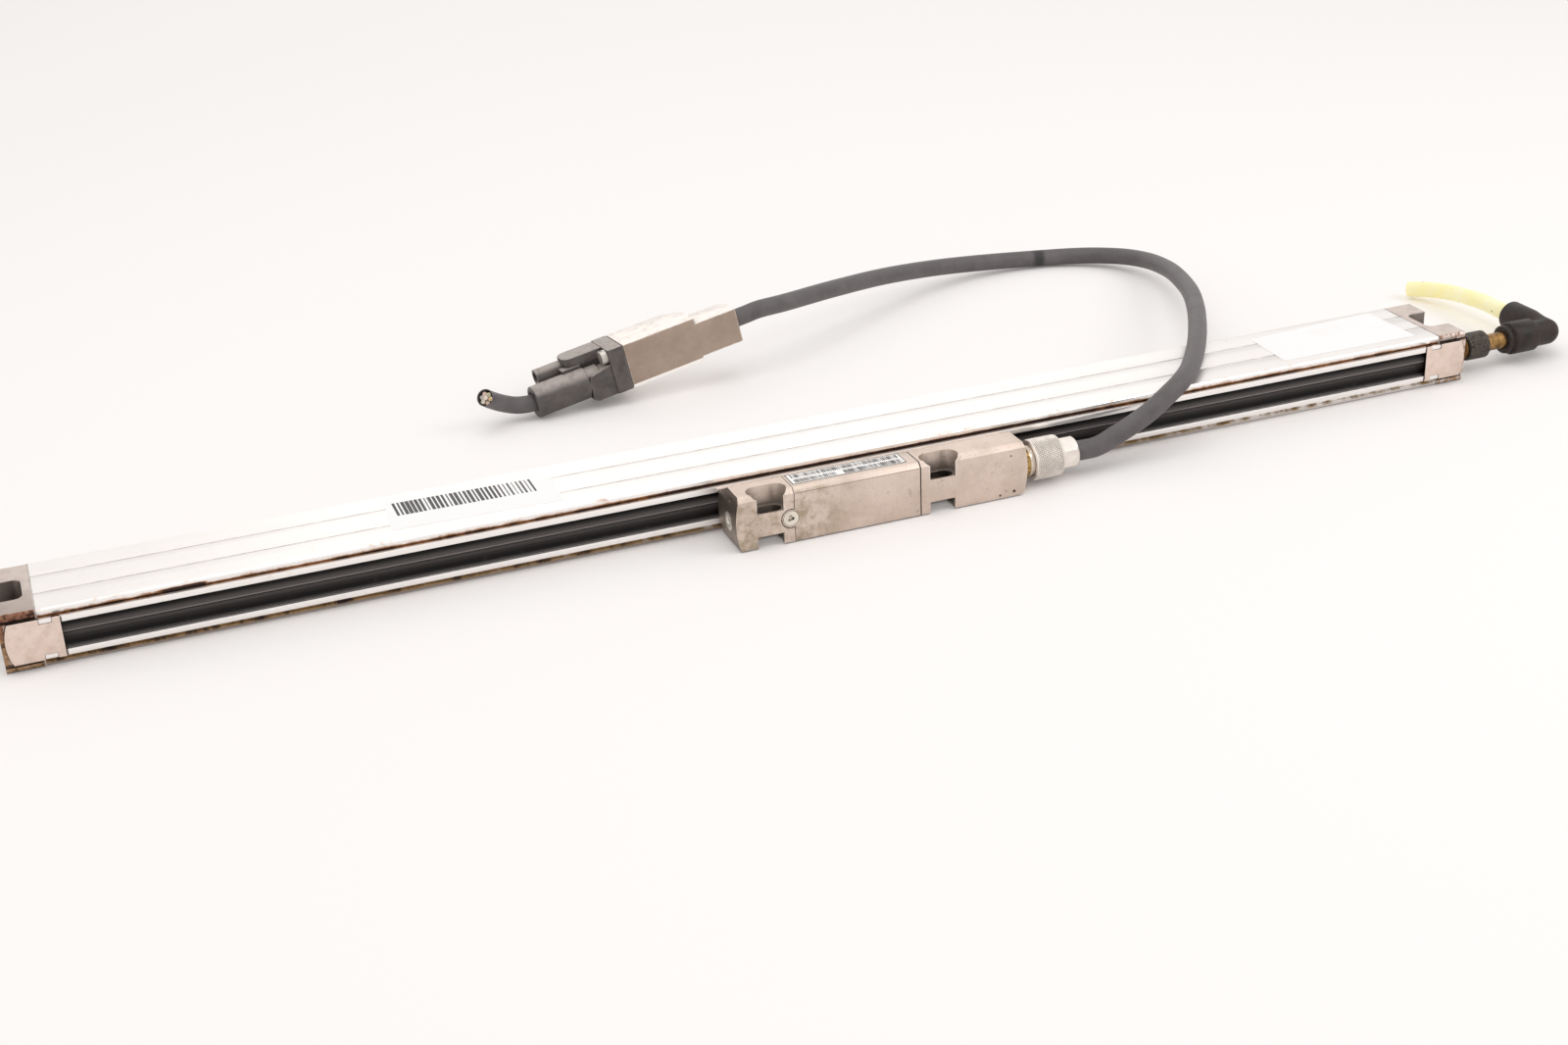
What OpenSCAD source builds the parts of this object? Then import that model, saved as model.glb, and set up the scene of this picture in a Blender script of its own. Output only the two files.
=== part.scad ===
// Sealed linear glass scale: an aluminium housing with a glass graduation inside, a scanning head that
// slides along its slit, the head's lead with its plug, and a compressed-air fitting on one end block.
// X runs along the measuring direction, Y away from the scanning head, Z up. Millimetres.

/* [Housing] */
// Depth of the profile, without the raised bands beside the slit
body_d = 33; // [32:0.5:38]
// Height of the profile
body_h = 18; // [18:0.5:22]
// How far the bands beside the slit stand out of the front
nose_d = 1.5; // [1.2:0.1:2]
// Height of the slit's centre above the base
slit_z = 9.3; // [9.3:0.1:10]
// Height of the slit
slit_h = 8.8; // [8:0.1:9.4]
// Height of each raised band beside the slit
band_h = 1.8; // [1.4:0.1:2]
// Depth of the two grooves along the front
groove_d = 0.6; // [0.4:0.1:1.6]
// Wall of the profile at its floor and roof
wall = 2.4; // [2:0.1:2.8]
// Wall of the profile at the front
front_wall = 3; // [2.6:0.1:3.2]

/* [End blocks] */
// Length of each end block
block_l = 10.5; // [10:0.5:14]
// Thickness of the gasket behind each end block
gasket_t = 0.5; // [0.3:0.1:1]
// Width of the mounting slot in an end block
fix_slot_w = 13.5; // [11:0.5:14]
// How far the mounting slot reaches into an end block
fix_slot_l = 8.2; // [6:0.1:8.5]
// Width of the screw slot below the counterbore
fix_screw_w = 6.6; // [5.5:0.1:8]
// Height of the ledge the mounting screw presses on
fix_ledge_z = 6; // [4:0.5:9]
// How far the front plates lap over the profile
plate_lap = 5.9; // [4:0.1:8]
// Thickness of the front plates
plate_t = 1.2; // [0.8:0.1:1.6]
// Radius of the front plates' outer edge
plate_r = 16; // [12:1:30]
// Radius of the screws that hold the end blocks
end_screw_r = 1.2; // [0.8:0.1:1.4]

/* [Glass scale] */
// Thickness of the glass scale
glass_t = 2; // [1.6:0.1:2.4]
// Height of the glass scale's upper edge
glass_top = 10.5; // [10:0.1:10.8]
// Distance of the glass scale's front face from the housing's middle
glass_y = 5; // [4:0.1:5.5]
// Thickness of the elastic bond behind the glass
bond_t = 0.4; // [0.2:0.1:0.6]

/* [Scanning head] */
// Measuring length
measuring_l = 350; // [300:10:480]
// Extra travel at each end of the measuring length
overtravel = 4; // [1:0.5:6]
// Length of profile left beyond the head at each end of its travel
end_room = 7; // [6.9:0.1:9]
// Where the head stands along the housing
head_x = 16.5; // [-60:0.5:60]
// Length of the head
head_l = 99; // [98:0.5:104]
// Depth of the head
head_d = 16; // [15.5:0.1:18]
// Air gap between the head and the raised bands
head_gap = 1; // [0.8:0.1:1.5]
// Clearance below the head
head_z = 0.3; // [0.2:0.1:0.6]
// Radius of the head's rounded ends
head_end_r = 30; // [20:1:44]
// Distance between the head's two mounting slots
slot_pitch = 58; // [57:0.5:60]
// Distance of the first mounting slot from the head's left end
slot_first = 11.3; // [11:0.1:12]
// Width of a mounting slot
slot_w = 5.2; // [4.5:0.1:5.4]
// Length of a mounting slot
slot_l = 9.4; // [9:0.1:10]
// Radius of the counterbore's round ends
cbore_r = 3.6; // [3.3:0.1:3.8]
// Length of the counterbore
cbore_l = 13; // [12.5:0.1:13.4]
// Distance of the cover from the head's left end
cover_first = 19.2; // [19:0.1:20]
// Length of the cover
cover_l = 42.5; // [40:0.5:42.5]
// Thickness of the cover's front
cover_t = 1.8; // [1.4:0.1:2]
// Radius of the cover's lobe round its screw
lobe_r = 3.2; // [3:0.1:3.4]
// Thickness of the blade that passes through the lips
blade_t = 1; // [0.8:0.1:1.2]
// Length of the blade
blade_l = 68; // [50:1:80]
// Height of the connector axis
port_z = 8; // [7.6:0.1:8.4]
// Distance of the connector axis from the head's front
port_in = 7.5; // [7.2:0.1:7.8]

/* [Carriage] */
// Length of the scanning carriage
carriage_l = 44; // [40:1:56]
// Radius of the rollers on the glass face
face_roller_r = 2.6; // [2.2:0.1:2.8]
// Radius of the rollers on the glass edge
edge_roller_r = 2; // [1.6:0.1:2.2]
// Radius of a roller's pin
roller_pin_r = 0.8; // [0.5:0.1:1]
// Running clearance of the rollers on their pins and on the glass
roller_gap = 0.04; // [0.02:0.01:0.08]

/* [Lead and coupling] */
// Diameter of the lead
lead_d = 6.6; // [6.6:0.1:6.8]
// Radius of the knurled coupling nut
nut_r = 6.7; // [6.4:0.1:7]
// Length of the knurled coupling nut
nut_l = 10.2; // [9.6:0.2:12]
// Running clearance of the coupling nut
nut_gap = 0.06; // [0.04:0.01:0.1]

/* [Air fitting] */
// Radius of the threaded brass port
port_r = 4.1; // [3.8:0.1:4.3]
// Radius of the knurled union nut
union_r = 4.8; // [4.7:0.1:5.2]
// Length of the knurled union nut
union_l = 8.8; // [8:0.1:11]
// Outer radius of the brass tube
tube_r = 3; // [2.6:0.1:3.1]
// Diameter of the air hose
hose_d = 6; // [6:0.1:6.2]
// Radius of the elbow's arms
elbow_r = 5.8; // [5.6:0.1:6]
// Length of the elbow's arm on the tube
arm_l = 16.5; // [15:0.1:17]
// Travel of a release collar
collar_travel = 0.8; // [0.5:0.1:1]

/* [Plug] */
// Length of the plug's metal housing
shell_l = 44.5; // [42:0.5:44.5]
// Depth of the plug's metal housing
shell_d = 16.6; // [16:0.1:17]
// Height of the plug's metal housing
shell_h = 16.6; // [16.4:0.1:17.4]
// Length of the black boot
boot_l = 20.5; // [18:0.5:20.5]
// Radius of the black boot
boot_r = 5.8; // [5.4:0.1:5.8]

/* [Hidden] */
$fn = 48;
board_t = 1.2;                            // thickness of the head's circuit board
FIT = 0.05;                               // side clearance of a piece seated in a pocket
front_y = -body_d / 2;
nose_y = front_y - nose_d;
back_y = body_d / 2;
slit_lo = slit_z - slit_h / 2;
slit_hi = slit_z + slit_h / 2;
band_lo = slit_lo - band_h;
band_hi = slit_hi + band_h;
groove_h = [1.5, 0.6];                    // heights of the lower and the upper front groove
cavity_y = front_y + front_wall;
profile_l = measuring_l + 2 * overtravel + head_l + 2 * end_room;
half_l = profile_l / 2;
end_x = half_l + gasket_t + block_l;

rail_y = glass_y + glass_t + bond_t;      // front of the rail behind the glass
rail_z = 8.6;
glass_seat = 0.9;                         // depth of the glass in the floor
cavity_back = back_y - 4.5;

plate_y = nose_y + 1;                     // back of the front plates
plate_in = half_l - plate_lap;
plate_out = end_x - 1.2;
plate_lo = band_lo - 0.2;
plate_hi = band_hi + 0.2;
notch_w = 3.7;
notch_h = 1.6;
notch_in = plate_in + 2.2;

head_back = nose_y - head_gap;
head_front = head_back - head_d;
head_x0 = head_x - head_l / 2;
head_x1 = head_x + head_l / 2;
head_top = body_h;
head_edge = 1.5;                          // chamfer along the head's upper front edge
top_w = 8.8;                              // width of the head's flat top
back_drop = 3.8;                          // height of the slope at the head's upper back
board_y = head_front + 11;                // back of the head's board
slot_y = head_front + 3.3;
slot_xs = [head_x0 + slot_first, head_x0 + slot_first + slot_pitch];
cbore_z = 11.5;
nut_pocket_z = 4;
nut_pocket_w = 8.6;
cover_x = head_x0 + cover_first;
cover_screw_x = cover_x - 1.2;
cover_screw_z = 8.2;
port_y = head_front + port_in;

blade_in = cavity_y + 3;                  // inner edge of the blade
flange_h = 5;                             // foot of the blade inside the head
flange_d = 1.4;
lip_gap = blade_t / 2 + 0.15;
lip_t = 0.9;
lip_tip_y = cavity_y + 0.4;

car_x = head_x;
car_front = blade_in + 0.6;               // front of the carriage, beyond the leaf spring
roof_z = body_h - wall;
car_top = roof_z - 0.4;
pin_run = 0.4;                            // clearance of the carriage round its rollers
face_xs = [car_x - carriage_l / 2 + 6, car_x + carriage_l / 2 - 6];
face_y = glass_y - roller_gap - face_roller_r;
face_z = 6.6;
face_h = 2.4;
edge_xs = [car_x - carriage_l / 2 + 13, car_x + carriage_l / 2 - 13];
edge_z = glass_top + roller_gap + edge_roller_r;

socket_r = 5.2;
nut_x = head_x1 + 4.2;
nut_x1 = nut_x + nut_l;
lead_x = nut_x1 + 5.8;
hood_r = 5.6;                             // across the corners of the hood's six flats
neck_r = 4.4;                             // neck of the hood inside the nut's end

air_y = front_y + 6.7;
air_z = 9;
port_x1 = end_x + 4.8;                    // end of the threaded port
union_x1 = port_x1 + 0.5 + union_l;
elbow_x = union_x1 + 9.8;                 // mouth of the elbow on the tube
corner_x = elbow_x + arm_l;
mouth_y = air_y + 19.3;
collar_r = 5;
hose_collar_r = 4.1;
collar_out = 2.5;                         // how far a release collar stands out of its mouth

lead_exit = [lead_x, port_y, port_z];
// Where the plug lies: the lower front corner of its metal housing from the lead's exit, and its turn
plug_at = lead_exit + [-109.7, 124.1, -2.1];
plug_turn = [-5, -9.6, 5];
boot_y = 6.1;
boot_z = 6.4;
boot_x0 = -15;
entry_y = 7;                              // the lead's entry in the plug
entry_z = 8.3;
spare_boot_r = 3.2;                       // second, unused boot at the back of the plug
spare_boot_y = 13.3;
spare_boot_z = 12;

// Way of the lead from its exit, over the housing and back towards the plug
lead_way = [
    [0, 0, 0], [8.3, 0, 0], [15.8, 1, 2], [22.8, 1.5, 4.6], [29.8, 2, 8], [36.3, 3.5, 11.3],
    [43.3, 7, 13.5], [51.3, 14.5, 14.1], [60.3, 26, 14.2], [69.8, 40, 14], [79.8, 56.5, 13.2],
    [89.3, 73.5, 11.6], [98.3, 91.5, 9.5], [105.8, 109.5, 7], [112.8, 129, 4], [117.3, 146.5, 1],
    [118.3, 159.5, -1], [115.8, 170.5, -2.5], [109.8, 179, -3.5], [100.8, 185.5, -4.1],
    [85.8, 191, -4.4], [61.8, 192, -2.7], [35.8, 185.5, 1], [7.8, 171.5, 6.2], [-20.2, 154.5, 11],
    [-44.2, 141.5, 13.8]
];
// Way of the air hose from the elbow's mouth to its cut end
hose_way = [
    [0, 0, 0], [0, 5, 0], [0.7, 14.5, -0.3], [0.8, 21.5, -0.8], [0.7, 28.5, -1.5], [0.3, 35.5, -2.4],
    [-1.4, 45.5, -4.1], [-5.5, 53.1, -5.5]
];
// Route of the cut lead in the boot, in the plug's own frame
stub_way = [
    [-31, 6.1, 6.4], [-36, 6.1, 6.4], [-41.2, 6.5, 7.5], [-46.2, 5.4, 10.4], [-50.4, 2.6, 14],
    [-53.2, -0.8, 17]
];

// ---- Helpers ----

function turn_x(a) = [[1, 0, 0], [0, cos(a), -sin(a)], [0, sin(a), cos(a)]];
function turn_y(a) = [[cos(a), 0, sin(a)], [0, 1, 0], [-sin(a), 0, cos(a)]];
function turn_z(a) = [[cos(a), -sin(a), 0], [sin(a), cos(a), 0], [0, 0, 1]];
// A point given in the plug's own frame
function plug_point(p) =
    plug_at + turn_z(plug_turn[2]) * (turn_y(plug_turn[1]) * (turn_x(plug_turn[0]) * p));
// Extrude a profile drawn in Y and Z along X
module along_x(x0, l) { translate([x0, 0, 0]) rotate([90, 0, 90]) linear_extrude(l) children(); }
// Extrude an outline drawn in X and Z along Y
module along_y(y0, l) { translate([0, y0 + l, 0]) rotate([90, 0, 0]) linear_extrude(l) children(); }
module rod_x(x0, l, r, y, z) { translate([x0, y, z]) rotate([0, 90, 0]) cylinder(h = l, r = r); }
module rod_y(y0, l, r, x, z) { translate([x, y0, z]) rotate([-90, 0, 0]) cylinder(h = l, r = r); }
module block(a, b) { translate(a) cube(b - a); }
module slot_2d(l, w) {
    square([l - w, w], center = true);
    for (s = [-1, 1]) translate([s * (l - w) / 2, 0]) circle(d = w);
}
module both_ends() { for (s = [0, 1]) mirror([s, 0, 0]) children(); }

function unit(v) = v / norm(v);
function tangent(p, i) = unit(p[min(i + 1, len(p) - 1)] - p[max(i - 1, 0)]);
function across(t) = unit(cross(t, [0, 0, 1]));
// Ring of n points of radius r round point i of a route
function ring(p, i, r, n) = let (t = tangent(p, i), a = across(t), b = cross(a, t))
    [for (k = [0 : n - 1]) p[i] + r * (cos(360 * k / n) * a + sin(360 * k / n) * b)];
module sweep(p, r, n) {
    last = len(p) - 1;
    polyhedron(
        points = [for (i = [0 : last]) each ring(p, i, r, n)],
        faces = concat(
            [[for (k = [0 : n - 1]) k]],
            [for (i = [0 : last - 1], k = [0 : n - 1]) let (m = (k + 1) % n)
                [i * n + k, (i + 1) * n + k, (i + 1) * n + m, i * n + m]],
            [[for (k = [n - 1 : -1 : 0]) last * n + k]]));
}

// ---- Housing ----

// Outline of the profile: bevelled edges, two front grooves and the raised bands between them
module outline_2d(nose) {
    edge = 0.5;
    polygon([
        [back_y, edge], [back_y, body_h - edge], [back_y - edge, body_h], [front_y + edge, body_h],
        [front_y, body_h - edge], [front_y, band_hi + groove_h[1]],
        [front_y + groove_d, band_hi + groove_h[1]],
        [front_y + groove_d, band_hi], [nose, band_hi], [nose, band_lo], [front_y + groove_d, band_lo],
        [front_y + groove_d, band_lo - groove_h[0]], [front_y, band_lo - groove_h[0]], [front_y, edge],
        [front_y + edge, 0], [back_y - edge, 0]
    ]);
}

module cavity_2d() {
    polygon([
        [cavity_y, wall], [glass_y - FIT, wall], [glass_y - FIT, wall - glass_seat],
        [glass_y + glass_t + FIT, wall - glass_seat], [glass_y + glass_t + FIT, wall], [rail_y, wall],
        [rail_y, rail_z], [cavity_back, rail_z], [cavity_back, roof_z], [cavity_y, roof_z]
    ]);
}

module line_grooves_2d() {
    w = 0.5;
    d = 0.3;
    for (share = [0.335, 0.7], z = [0, body_h])
        translate([front_y + share * body_d, z]) square([w, 2 * d], center = true);
}

// Outline of a right-hand front plate in X and Z, grown by g on every side
module plate_2d(g) {
    mid = (plate_lo + plate_hi) / 2;
    difference() {
        intersection() {
            translate([plate_in - g, plate_lo - g])
                square([plate_out - plate_in + 2 * g, plate_hi - plate_lo + 2 * g]);
            union() {
                translate([plate_out - plate_r, mid]) circle(r = plate_r + g, $fn = 96);
                translate([plate_in - 1, plate_lo - 1])
                    square([plate_out - plate_r - plate_in + 1, plate_hi - plate_lo + 2]);
            }
        }
        for (z = [plate_lo - 1, plate_hi - notch_h])
            translate([notch_in + g, z + (z > mid ? g : -g)]) square([notch_w - 2 * g, notch_h + 1]);
    }
}

module scale_housing() {
    color("gainsboro") difference() {
        along_x(-half_l, profile_l) difference() {
            outline_2d(nose_y);
            cavity_2d();
            translate([nose_y - 1, slit_lo]) square([cavity_y - nose_y + 2, slit_h]);
            line_grooves_2d();
        }
        both_ends() {
            along_y(nose_y - 1, plate_y - nose_y + 1) plate_2d(0.1);
            for (z = screw_zs()) rod_x(half_l - 9, 10, end_screw_r, screw_y(), z);
        }
    }
}
function screw_y() = (cavity_back + back_y) / 2;
function screw_zs() = [body_h / 4, body_h * 3 / 4];

module glass_scale() {
    color([0.75, 0.88, 0.85, 0.5])
        block([-half_l + 2, glass_y, wall - glass_seat], [half_l - 2, glass_y + glass_t, glass_top]);
}

module scale_bond() {
    color("whitesmoke")
        block([-half_l + 4, glass_y + glass_t, wall + 0.6], [half_l - 4, rail_y, rail_z - 0.2]);
}

// One sealing lip: a root held in the slit and a leaf that leans inwards to the blade
module lip_2d() {
    root_y = nose_y + 1.1;
    polygon([
        [root_y, slit_lo], [cavity_y - 0.8, slit_lo], [cavity_y - 0.5, slit_lo + 1.2],
        [lip_tip_y + 0.3, slit_z - lip_gap], [lip_tip_y - 0.7, slit_z - lip_gap],
        [root_y + 0.8, slit_lo + lip_t], [root_y, slit_lo + lip_t]
    ]);
}
module lower_lip() { color("black") along_x(-half_l, profile_l) lip_2d(); }
module upper_lip() {
    color("black") along_x(-half_l, profile_l) translate([0, 2 * slit_z]) mirror([0, 1]) lip_2d();
}

// ---- End blocks ----

module end_block() {
    x0 = half_l + gasket_t;
    difference() {
        along_x(x0, block_l) outline_2d(plate_y);
        // counterbored mounting slot, open at the outer end
        translate([0, 0, fix_ledge_z]) linear_extrude(body_h) union() {
            translate([end_x - fix_slot_l + 2.5, -fix_slot_w / 2]) square([fix_slot_l, fix_slot_w]);
            translate([end_x - fix_slot_l, -fix_slot_w / 2 + 2.5]) square([fix_slot_l, fix_slot_w - 5]);
            for (s = [-1, 1])
                translate([end_x - fix_slot_l + 2.5, s * (fix_slot_w / 2 - 2.5)]) circle(r = 2.5);
        }
        translate([0, 0, -1]) linear_extrude(body_h) {
            translate([end_x - fix_slot_l + fix_screw_w / 2 + 1, 0]) circle(d = fix_screw_w);
            translate([end_x - fix_slot_l + fix_screw_w / 2 + 1, -fix_screw_w / 2])
                square([fix_slot_l, fix_screw_w]);
        }
        rod_x(x0 - 1, block_l + 2, port_r + 0.02, air_y, air_z);
        for (z = screw_zs()) {
            rod_x(x0 - 1, block_l + 2, end_screw_r + 0.2, screw_y(), z);
            rod_x(end_x - 1.8, 3, end_screw_r * 2 + 0.15, screw_y(), z);
        }
    }
}
module end_block_right() { color("tan") end_block(); }
module end_block_left() { color("tan") mirror([1, 0, 0]) end_block(); }

module end_gaskets() {
    color("dimgray") both_ends() along_x(half_l, gasket_t) difference() {
        translate([nose_y + 2.6, 0.8]) square([body_d - 2, body_h - 1.6]);
        cavity_2d();
        translate([screw_y(), 0]) for (z = screw_zs()) translate([0, z]) circle(r = end_screw_r + 0.2);
    }
}

module front_plate() { along_y(plate_y - plate_t, plate_t) plate_2d(0); }
module front_plate_right() { color("tan") front_plate(); }
module front_plate_left() { color("tan") mirror([1, 0, 0]) front_plate(); }

module end_screws() {
    head_x = end_x - 1.8;
    color("silver") both_ends() for (z = screw_zs()) difference() {
        union() {
            rod_x(half_l - 8, head_x - half_l + 8, end_screw_r, screw_y(), z);
            rod_x(head_x, 1.6, end_screw_r * 2, screw_y(), z);
        }
        translate([head_x + 0.8, screw_y(), z]) rotate([0, 90, 0])
            cylinder(h = 2, r = end_screw_r, $fn = 6);
    }
}

// Set screw that closes the unused air port in the left block
module port_plug() {
    color("dimgray") difference() {
        rod_x(-end_x + 0.5, block_l - 2, port_r, air_y, air_z);
        translate([-end_x, air_y, air_z]) rotate([0, 90, 0]) cylinder(h = 3.5, r = 2, $fn = 6);
    }
}

// ---- Air fitting ----

module air_port() {
    color("goldenrod") difference() {
        union() {
            rod_x(half_l + gasket_t + 0.5, port_x1 - half_l - gasket_t - 0.5, port_r, air_y, air_z);
            rod_x(end_x, 1.4, port_r + 0.4, air_y, air_z);
        }
        rod_x(half_l, port_x1, tube_r, air_y, air_z);
        translate([port_x1 - 1.6, air_y, air_z]) rotate([0, 90, 0]) rotate_extrude()
            translate([port_r - 0.4, 0]) square([2, 0.6]);
    }
}

module union_nut() {
    x0 = port_x1 + 0.1;
    color([0.15, 0.15, 0.16]) difference() {
        translate([x0, air_y, air_z]) rotate([0, 90, 0]) rotate_extrude() polygon([
            [tube_r + 2 * nut_gap, 0], [union_r - 0.4, 0], [union_r, 0.5], [union_r, union_l - 0.6],
            [union_r - 0.6, union_l], [tube_r + 2 * nut_gap, union_l]
        ]);
        knurl(x0 + 0.9, union_l - 1.9, union_r, 24, air_y, air_z);
    }
}

// Straight flutes round a rod along X
module knurl(x0, l, r, n, y, z) {
    for (k = [0 : n - 1]) translate([x0, y, z]) rotate([k * 360 / n, 0, 0])
        translate([0, 0, r]) rotate([45, 0, 0]) translate([0, -0.2, -0.2]) cube([l, 0.4, 0.4]);
}

module air_tube() {
    x0 = half_l + gasket_t + 1;
    color("peru") difference() {
        rod_x(x0, corner_x - 4.2 - x0, tube_r - 0.01, air_y, air_z);
        rod_x(half_l, corner_x, tube_r - 1, air_y, air_z);
    }
}

module elbow_body() {
    waist_r = elbow_r - 1.1;
    branch_r = elbow_r - 0.5;
    color([0.13, 0.13, 0.14]) difference() {
        union() {
            translate([elbow_x, air_y, air_z]) rotate([0, 90, 0]) rotate_extrude() polygon([
                [0, 0], [elbow_r - 0.5, 0], [elbow_r, 0.5], [elbow_r, arm_l - 7],
                [elbow_r - 0.4, arm_l - 6.3], [waist_r, arm_l - 6], [waist_r, arm_l], [0, arm_l]
            ]);
            translate([corner_x, air_y, air_z]) sphere(r = waist_r);
            translate([corner_x, air_y, air_z]) rotate([-90, 0, 0]) rotate_extrude() polygon([
                [0, 0], [waist_r, 0], [waist_r, 4], [branch_r, 9], [branch_r, mouth_y - air_y - 0.4],
                [branch_r - 0.3, mouth_y - air_y], [0, mouth_y - air_y]
            ]);
        }
        rod_x(elbow_x - 1, arm_l - 3, tube_r + FIT, air_y, air_z);
        rod_x(elbow_x - 1, 6, collar_r + FIT, air_y, air_z);
        rod_y(mouth_y - 5, 6, hose_collar_r + FIT, corner_x, air_z);
        rod_y(air_y, mouth_y, hose_d / 2 - 1, corner_x, air_z);
        rod_x(corner_x - 6, 6, tube_r - 1, air_y, air_z);
    }
}

// Release collar: a flanged sleeve that slides in its mouth; drawn along +X with its outer face at 0
module collar(r_in, r, out) {
    rotate([0, 90, 0]) rotate_extrude() polygon([
        [r_in, 0], [r - 0.4, 0], [r, 0.4], [r, out - 1.1], [r - 0.5, out - 1],
        [r - 0.5, out - collar_travel * 0.5], [r, out - collar_travel * 0.3], [r, out + 3], [r_in, out + 3]
    ]);
}
module tube_collar() {
    color([0.16, 0.16, 0.17]) translate([elbow_x - collar_out, air_y, air_z])
        collar(tube_r + FIT, collar_r, collar_out);
}
module hose_collar() {
    color("darkkhaki") translate([corner_x, mouth_y + 0.9, air_z]) rotate([0, 0, -90])
        collar(hose_d / 2 + FIT, hose_collar_r, 0.9 + 0.9);
}
module air_hose() {
    color([0.96, 0.9, 0.6]) sweep([for (p = hose_way) [corner_x, mouth_y, air_z] + p], hose_d / 2, 10);
}

// ---- Scanning head ----

// Side view of the head: a box with both ends rounded and one lower corner cut
module head_side_2d(g) {
    mid = (head_top + head_z) / 2;
    core = head_x1 - head_end_r;
    intersection() {
        translate([head_x0, head_z + g]) square([head_l, head_top - head_z - 2 * g]);
        union() {
            for (x = [head_x0 + head_end_r, core]) translate([x, mid]) circle(r = head_end_r, $fn = 180);
            translate([head_x0 + head_end_r, 0]) square([core - head_x0 - head_end_r, head_top]);
        }
    }
}
// Cross-section of the head, with its chamfers
module head_end_2d() {
    polygon([
        [head_back, head_z], [head_back, head_top - back_drop],
        [head_front + head_edge + top_w, head_top], [head_front + head_edge, head_top],
        [head_front, head_top - head_edge], [head_front, head_z]
    ]);
}
// Cross-section of the cover: a front plate that wraps over the top
module cover_2d(g) {
    top_t = 1.2;
    inner = head_front + cover_t + g;
    polygon([
        [head_front - 1, head_z - 1], [inner, head_z - 1], [inner, head_top - head_edge - 0.5],
        [inner + head_edge - 0.8, head_top - top_t - g],
        [head_front + head_edge + top_w + g, head_top - top_t - g],
        [head_front + head_edge + top_w + g, head_top + 1], [head_front - 1, head_top + 1]
    ]);
}
module cover_shape(g) {
    intersection() {
        along_x(head_x0, head_l) head_end_2d();
        union() {
            along_x(cover_x - g, cover_l + 2 * g) cover_2d(g);
            rod_y(head_front - 1, cover_t + 1 + g, lobe_r + g, cover_screw_x, cover_screw_z);
        }
    }
}

module head_block() {
    pocket_x0 = cover_x + 5;
    pocket_x1 = cover_x + cover_l - 3;
    color("rosybrown") difference() {
        intersection() {
            along_x(head_x0, head_l) head_end_2d();
            along_y(head_front, head_d) head_side_2d(0);
        }
        cover_shape(0.08);
        // electronics pocket behind the cover, and the wire way to the connector
        block([pocket_x0, head_front - 1, head_z + 2.4], [pocket_x1, board_y, head_top - 2.6]);
        rod_x(pocket_x1 - 1, head_x1, socket_r - 1.6, port_y, port_z);
        rod_x(head_x1 - 8, 12, socket_r, port_y, port_z);
        // mounting slots, counterbored from above and open to the front, with a nut pocket below
        for (x = slot_xs) translate([x, slot_y, 0]) {
            translate([0, 0, -1]) linear_extrude(head_top) slot_2d(slot_l, slot_w);
            translate([0, 0, cbore_z]) linear_extrude(head_top) slot_2d(cbore_l, 2 * cbore_r);
            translate([-nut_pocket_w / 2, -head_d / 2, -1])
                cube([nut_pocket_w, head_d / 2 + 3.6, nut_pocket_z + 1]);
        }
        // seat of the blade's foot
        block([head_x - blade_l / 2 - FIT, head_back - flange_d - FIT, slit_z - flange_h / 2 - FIT],
              [head_x + blade_l / 2 + FIT, head_back + 1, slit_z + flange_h / 2 + FIT]);
        rod_x(head_x0 - 1, 5.5, 3.2, port_y, port_z);
        rod_x(head_x0 - 1, 4, 0.8, port_y - 1, head_top - 2.6);
        rod_y(head_front + cover_t - 1, 7, 1, cover_screw_x, cover_screw_z);
        translate([head_x1, head_front - 1, head_z]) rotate([0, 45, 0])
            cube([3, 2 * head_d, 3], center = true);
    }
}

module head_cover() {
    color("rosybrown") difference() {
        cover_shape(0);
        rod_y(head_front - 1, 4, 1.1, cover_screw_x, cover_screw_z);
        rod_y(head_front - 1, 2, 2.55, cover_screw_x, cover_screw_z);
    }
}

module cover_screw() {
    color("silver") difference() {
        union() {
            rod_y(head_front, 0.95, 2.5, cover_screw_x, cover_screw_z);
            rod_y(head_front + 0.9, 6, 1, cover_screw_x, cover_screw_z);
        }
        translate([cover_screw_x, head_front - 1, cover_screw_z]) rotate([-90, 0, 0])
            for (k = [0, 30]) rotate([0, 0, k]) cylinder(h = 1.7, r = 1.25, $fn = 3);
    }
}

// Threaded plug that closes the unused connector port at the left end
module end_plug() {
    color("palegoldenrod") difference() {
        rod_x(head_x0 + 0.1, 4.4, 3.2, port_y, port_z);
        translate([head_x0 - 1, port_y, port_z]) rotate([0, 90, 0]) cylinder(h = 2.6, r = 1.2, $fn = 6);
    }
}

module head_board() {
    back = board_y;
    color("seagreen") {
        block([cover_x + 5.5, back - board_t, head_z + 2.8], [cover_x + cover_l - 3.5, back, head_top - 3]);
        for (k = [0 : 2])
            block([cover_x + 8 + k * 7.5, back - 2.6, head_z + 5],
                  [cover_x + 13 + k * 7.5, back - board_t, head_z + 10]);
    }
}

module sensor_plug() {
    back = board_y - board_t;
    color("ivory") block([cover_x + cover_l - 10, back - 3.4, port_z - 2.4],
                         [cover_x + cover_l - 4, back, port_z + 2.4]);
}

// ---- Round connector ----

module socket_ring() {
    color("goldenrod") difference() {
        rod_x(head_x1 - 8, 16.4, socket_r - 0.02, port_y, port_z);
        rod_x(head_x1 - 9, 20, socket_r - 0.8, port_y, port_z);
    }
}

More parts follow.
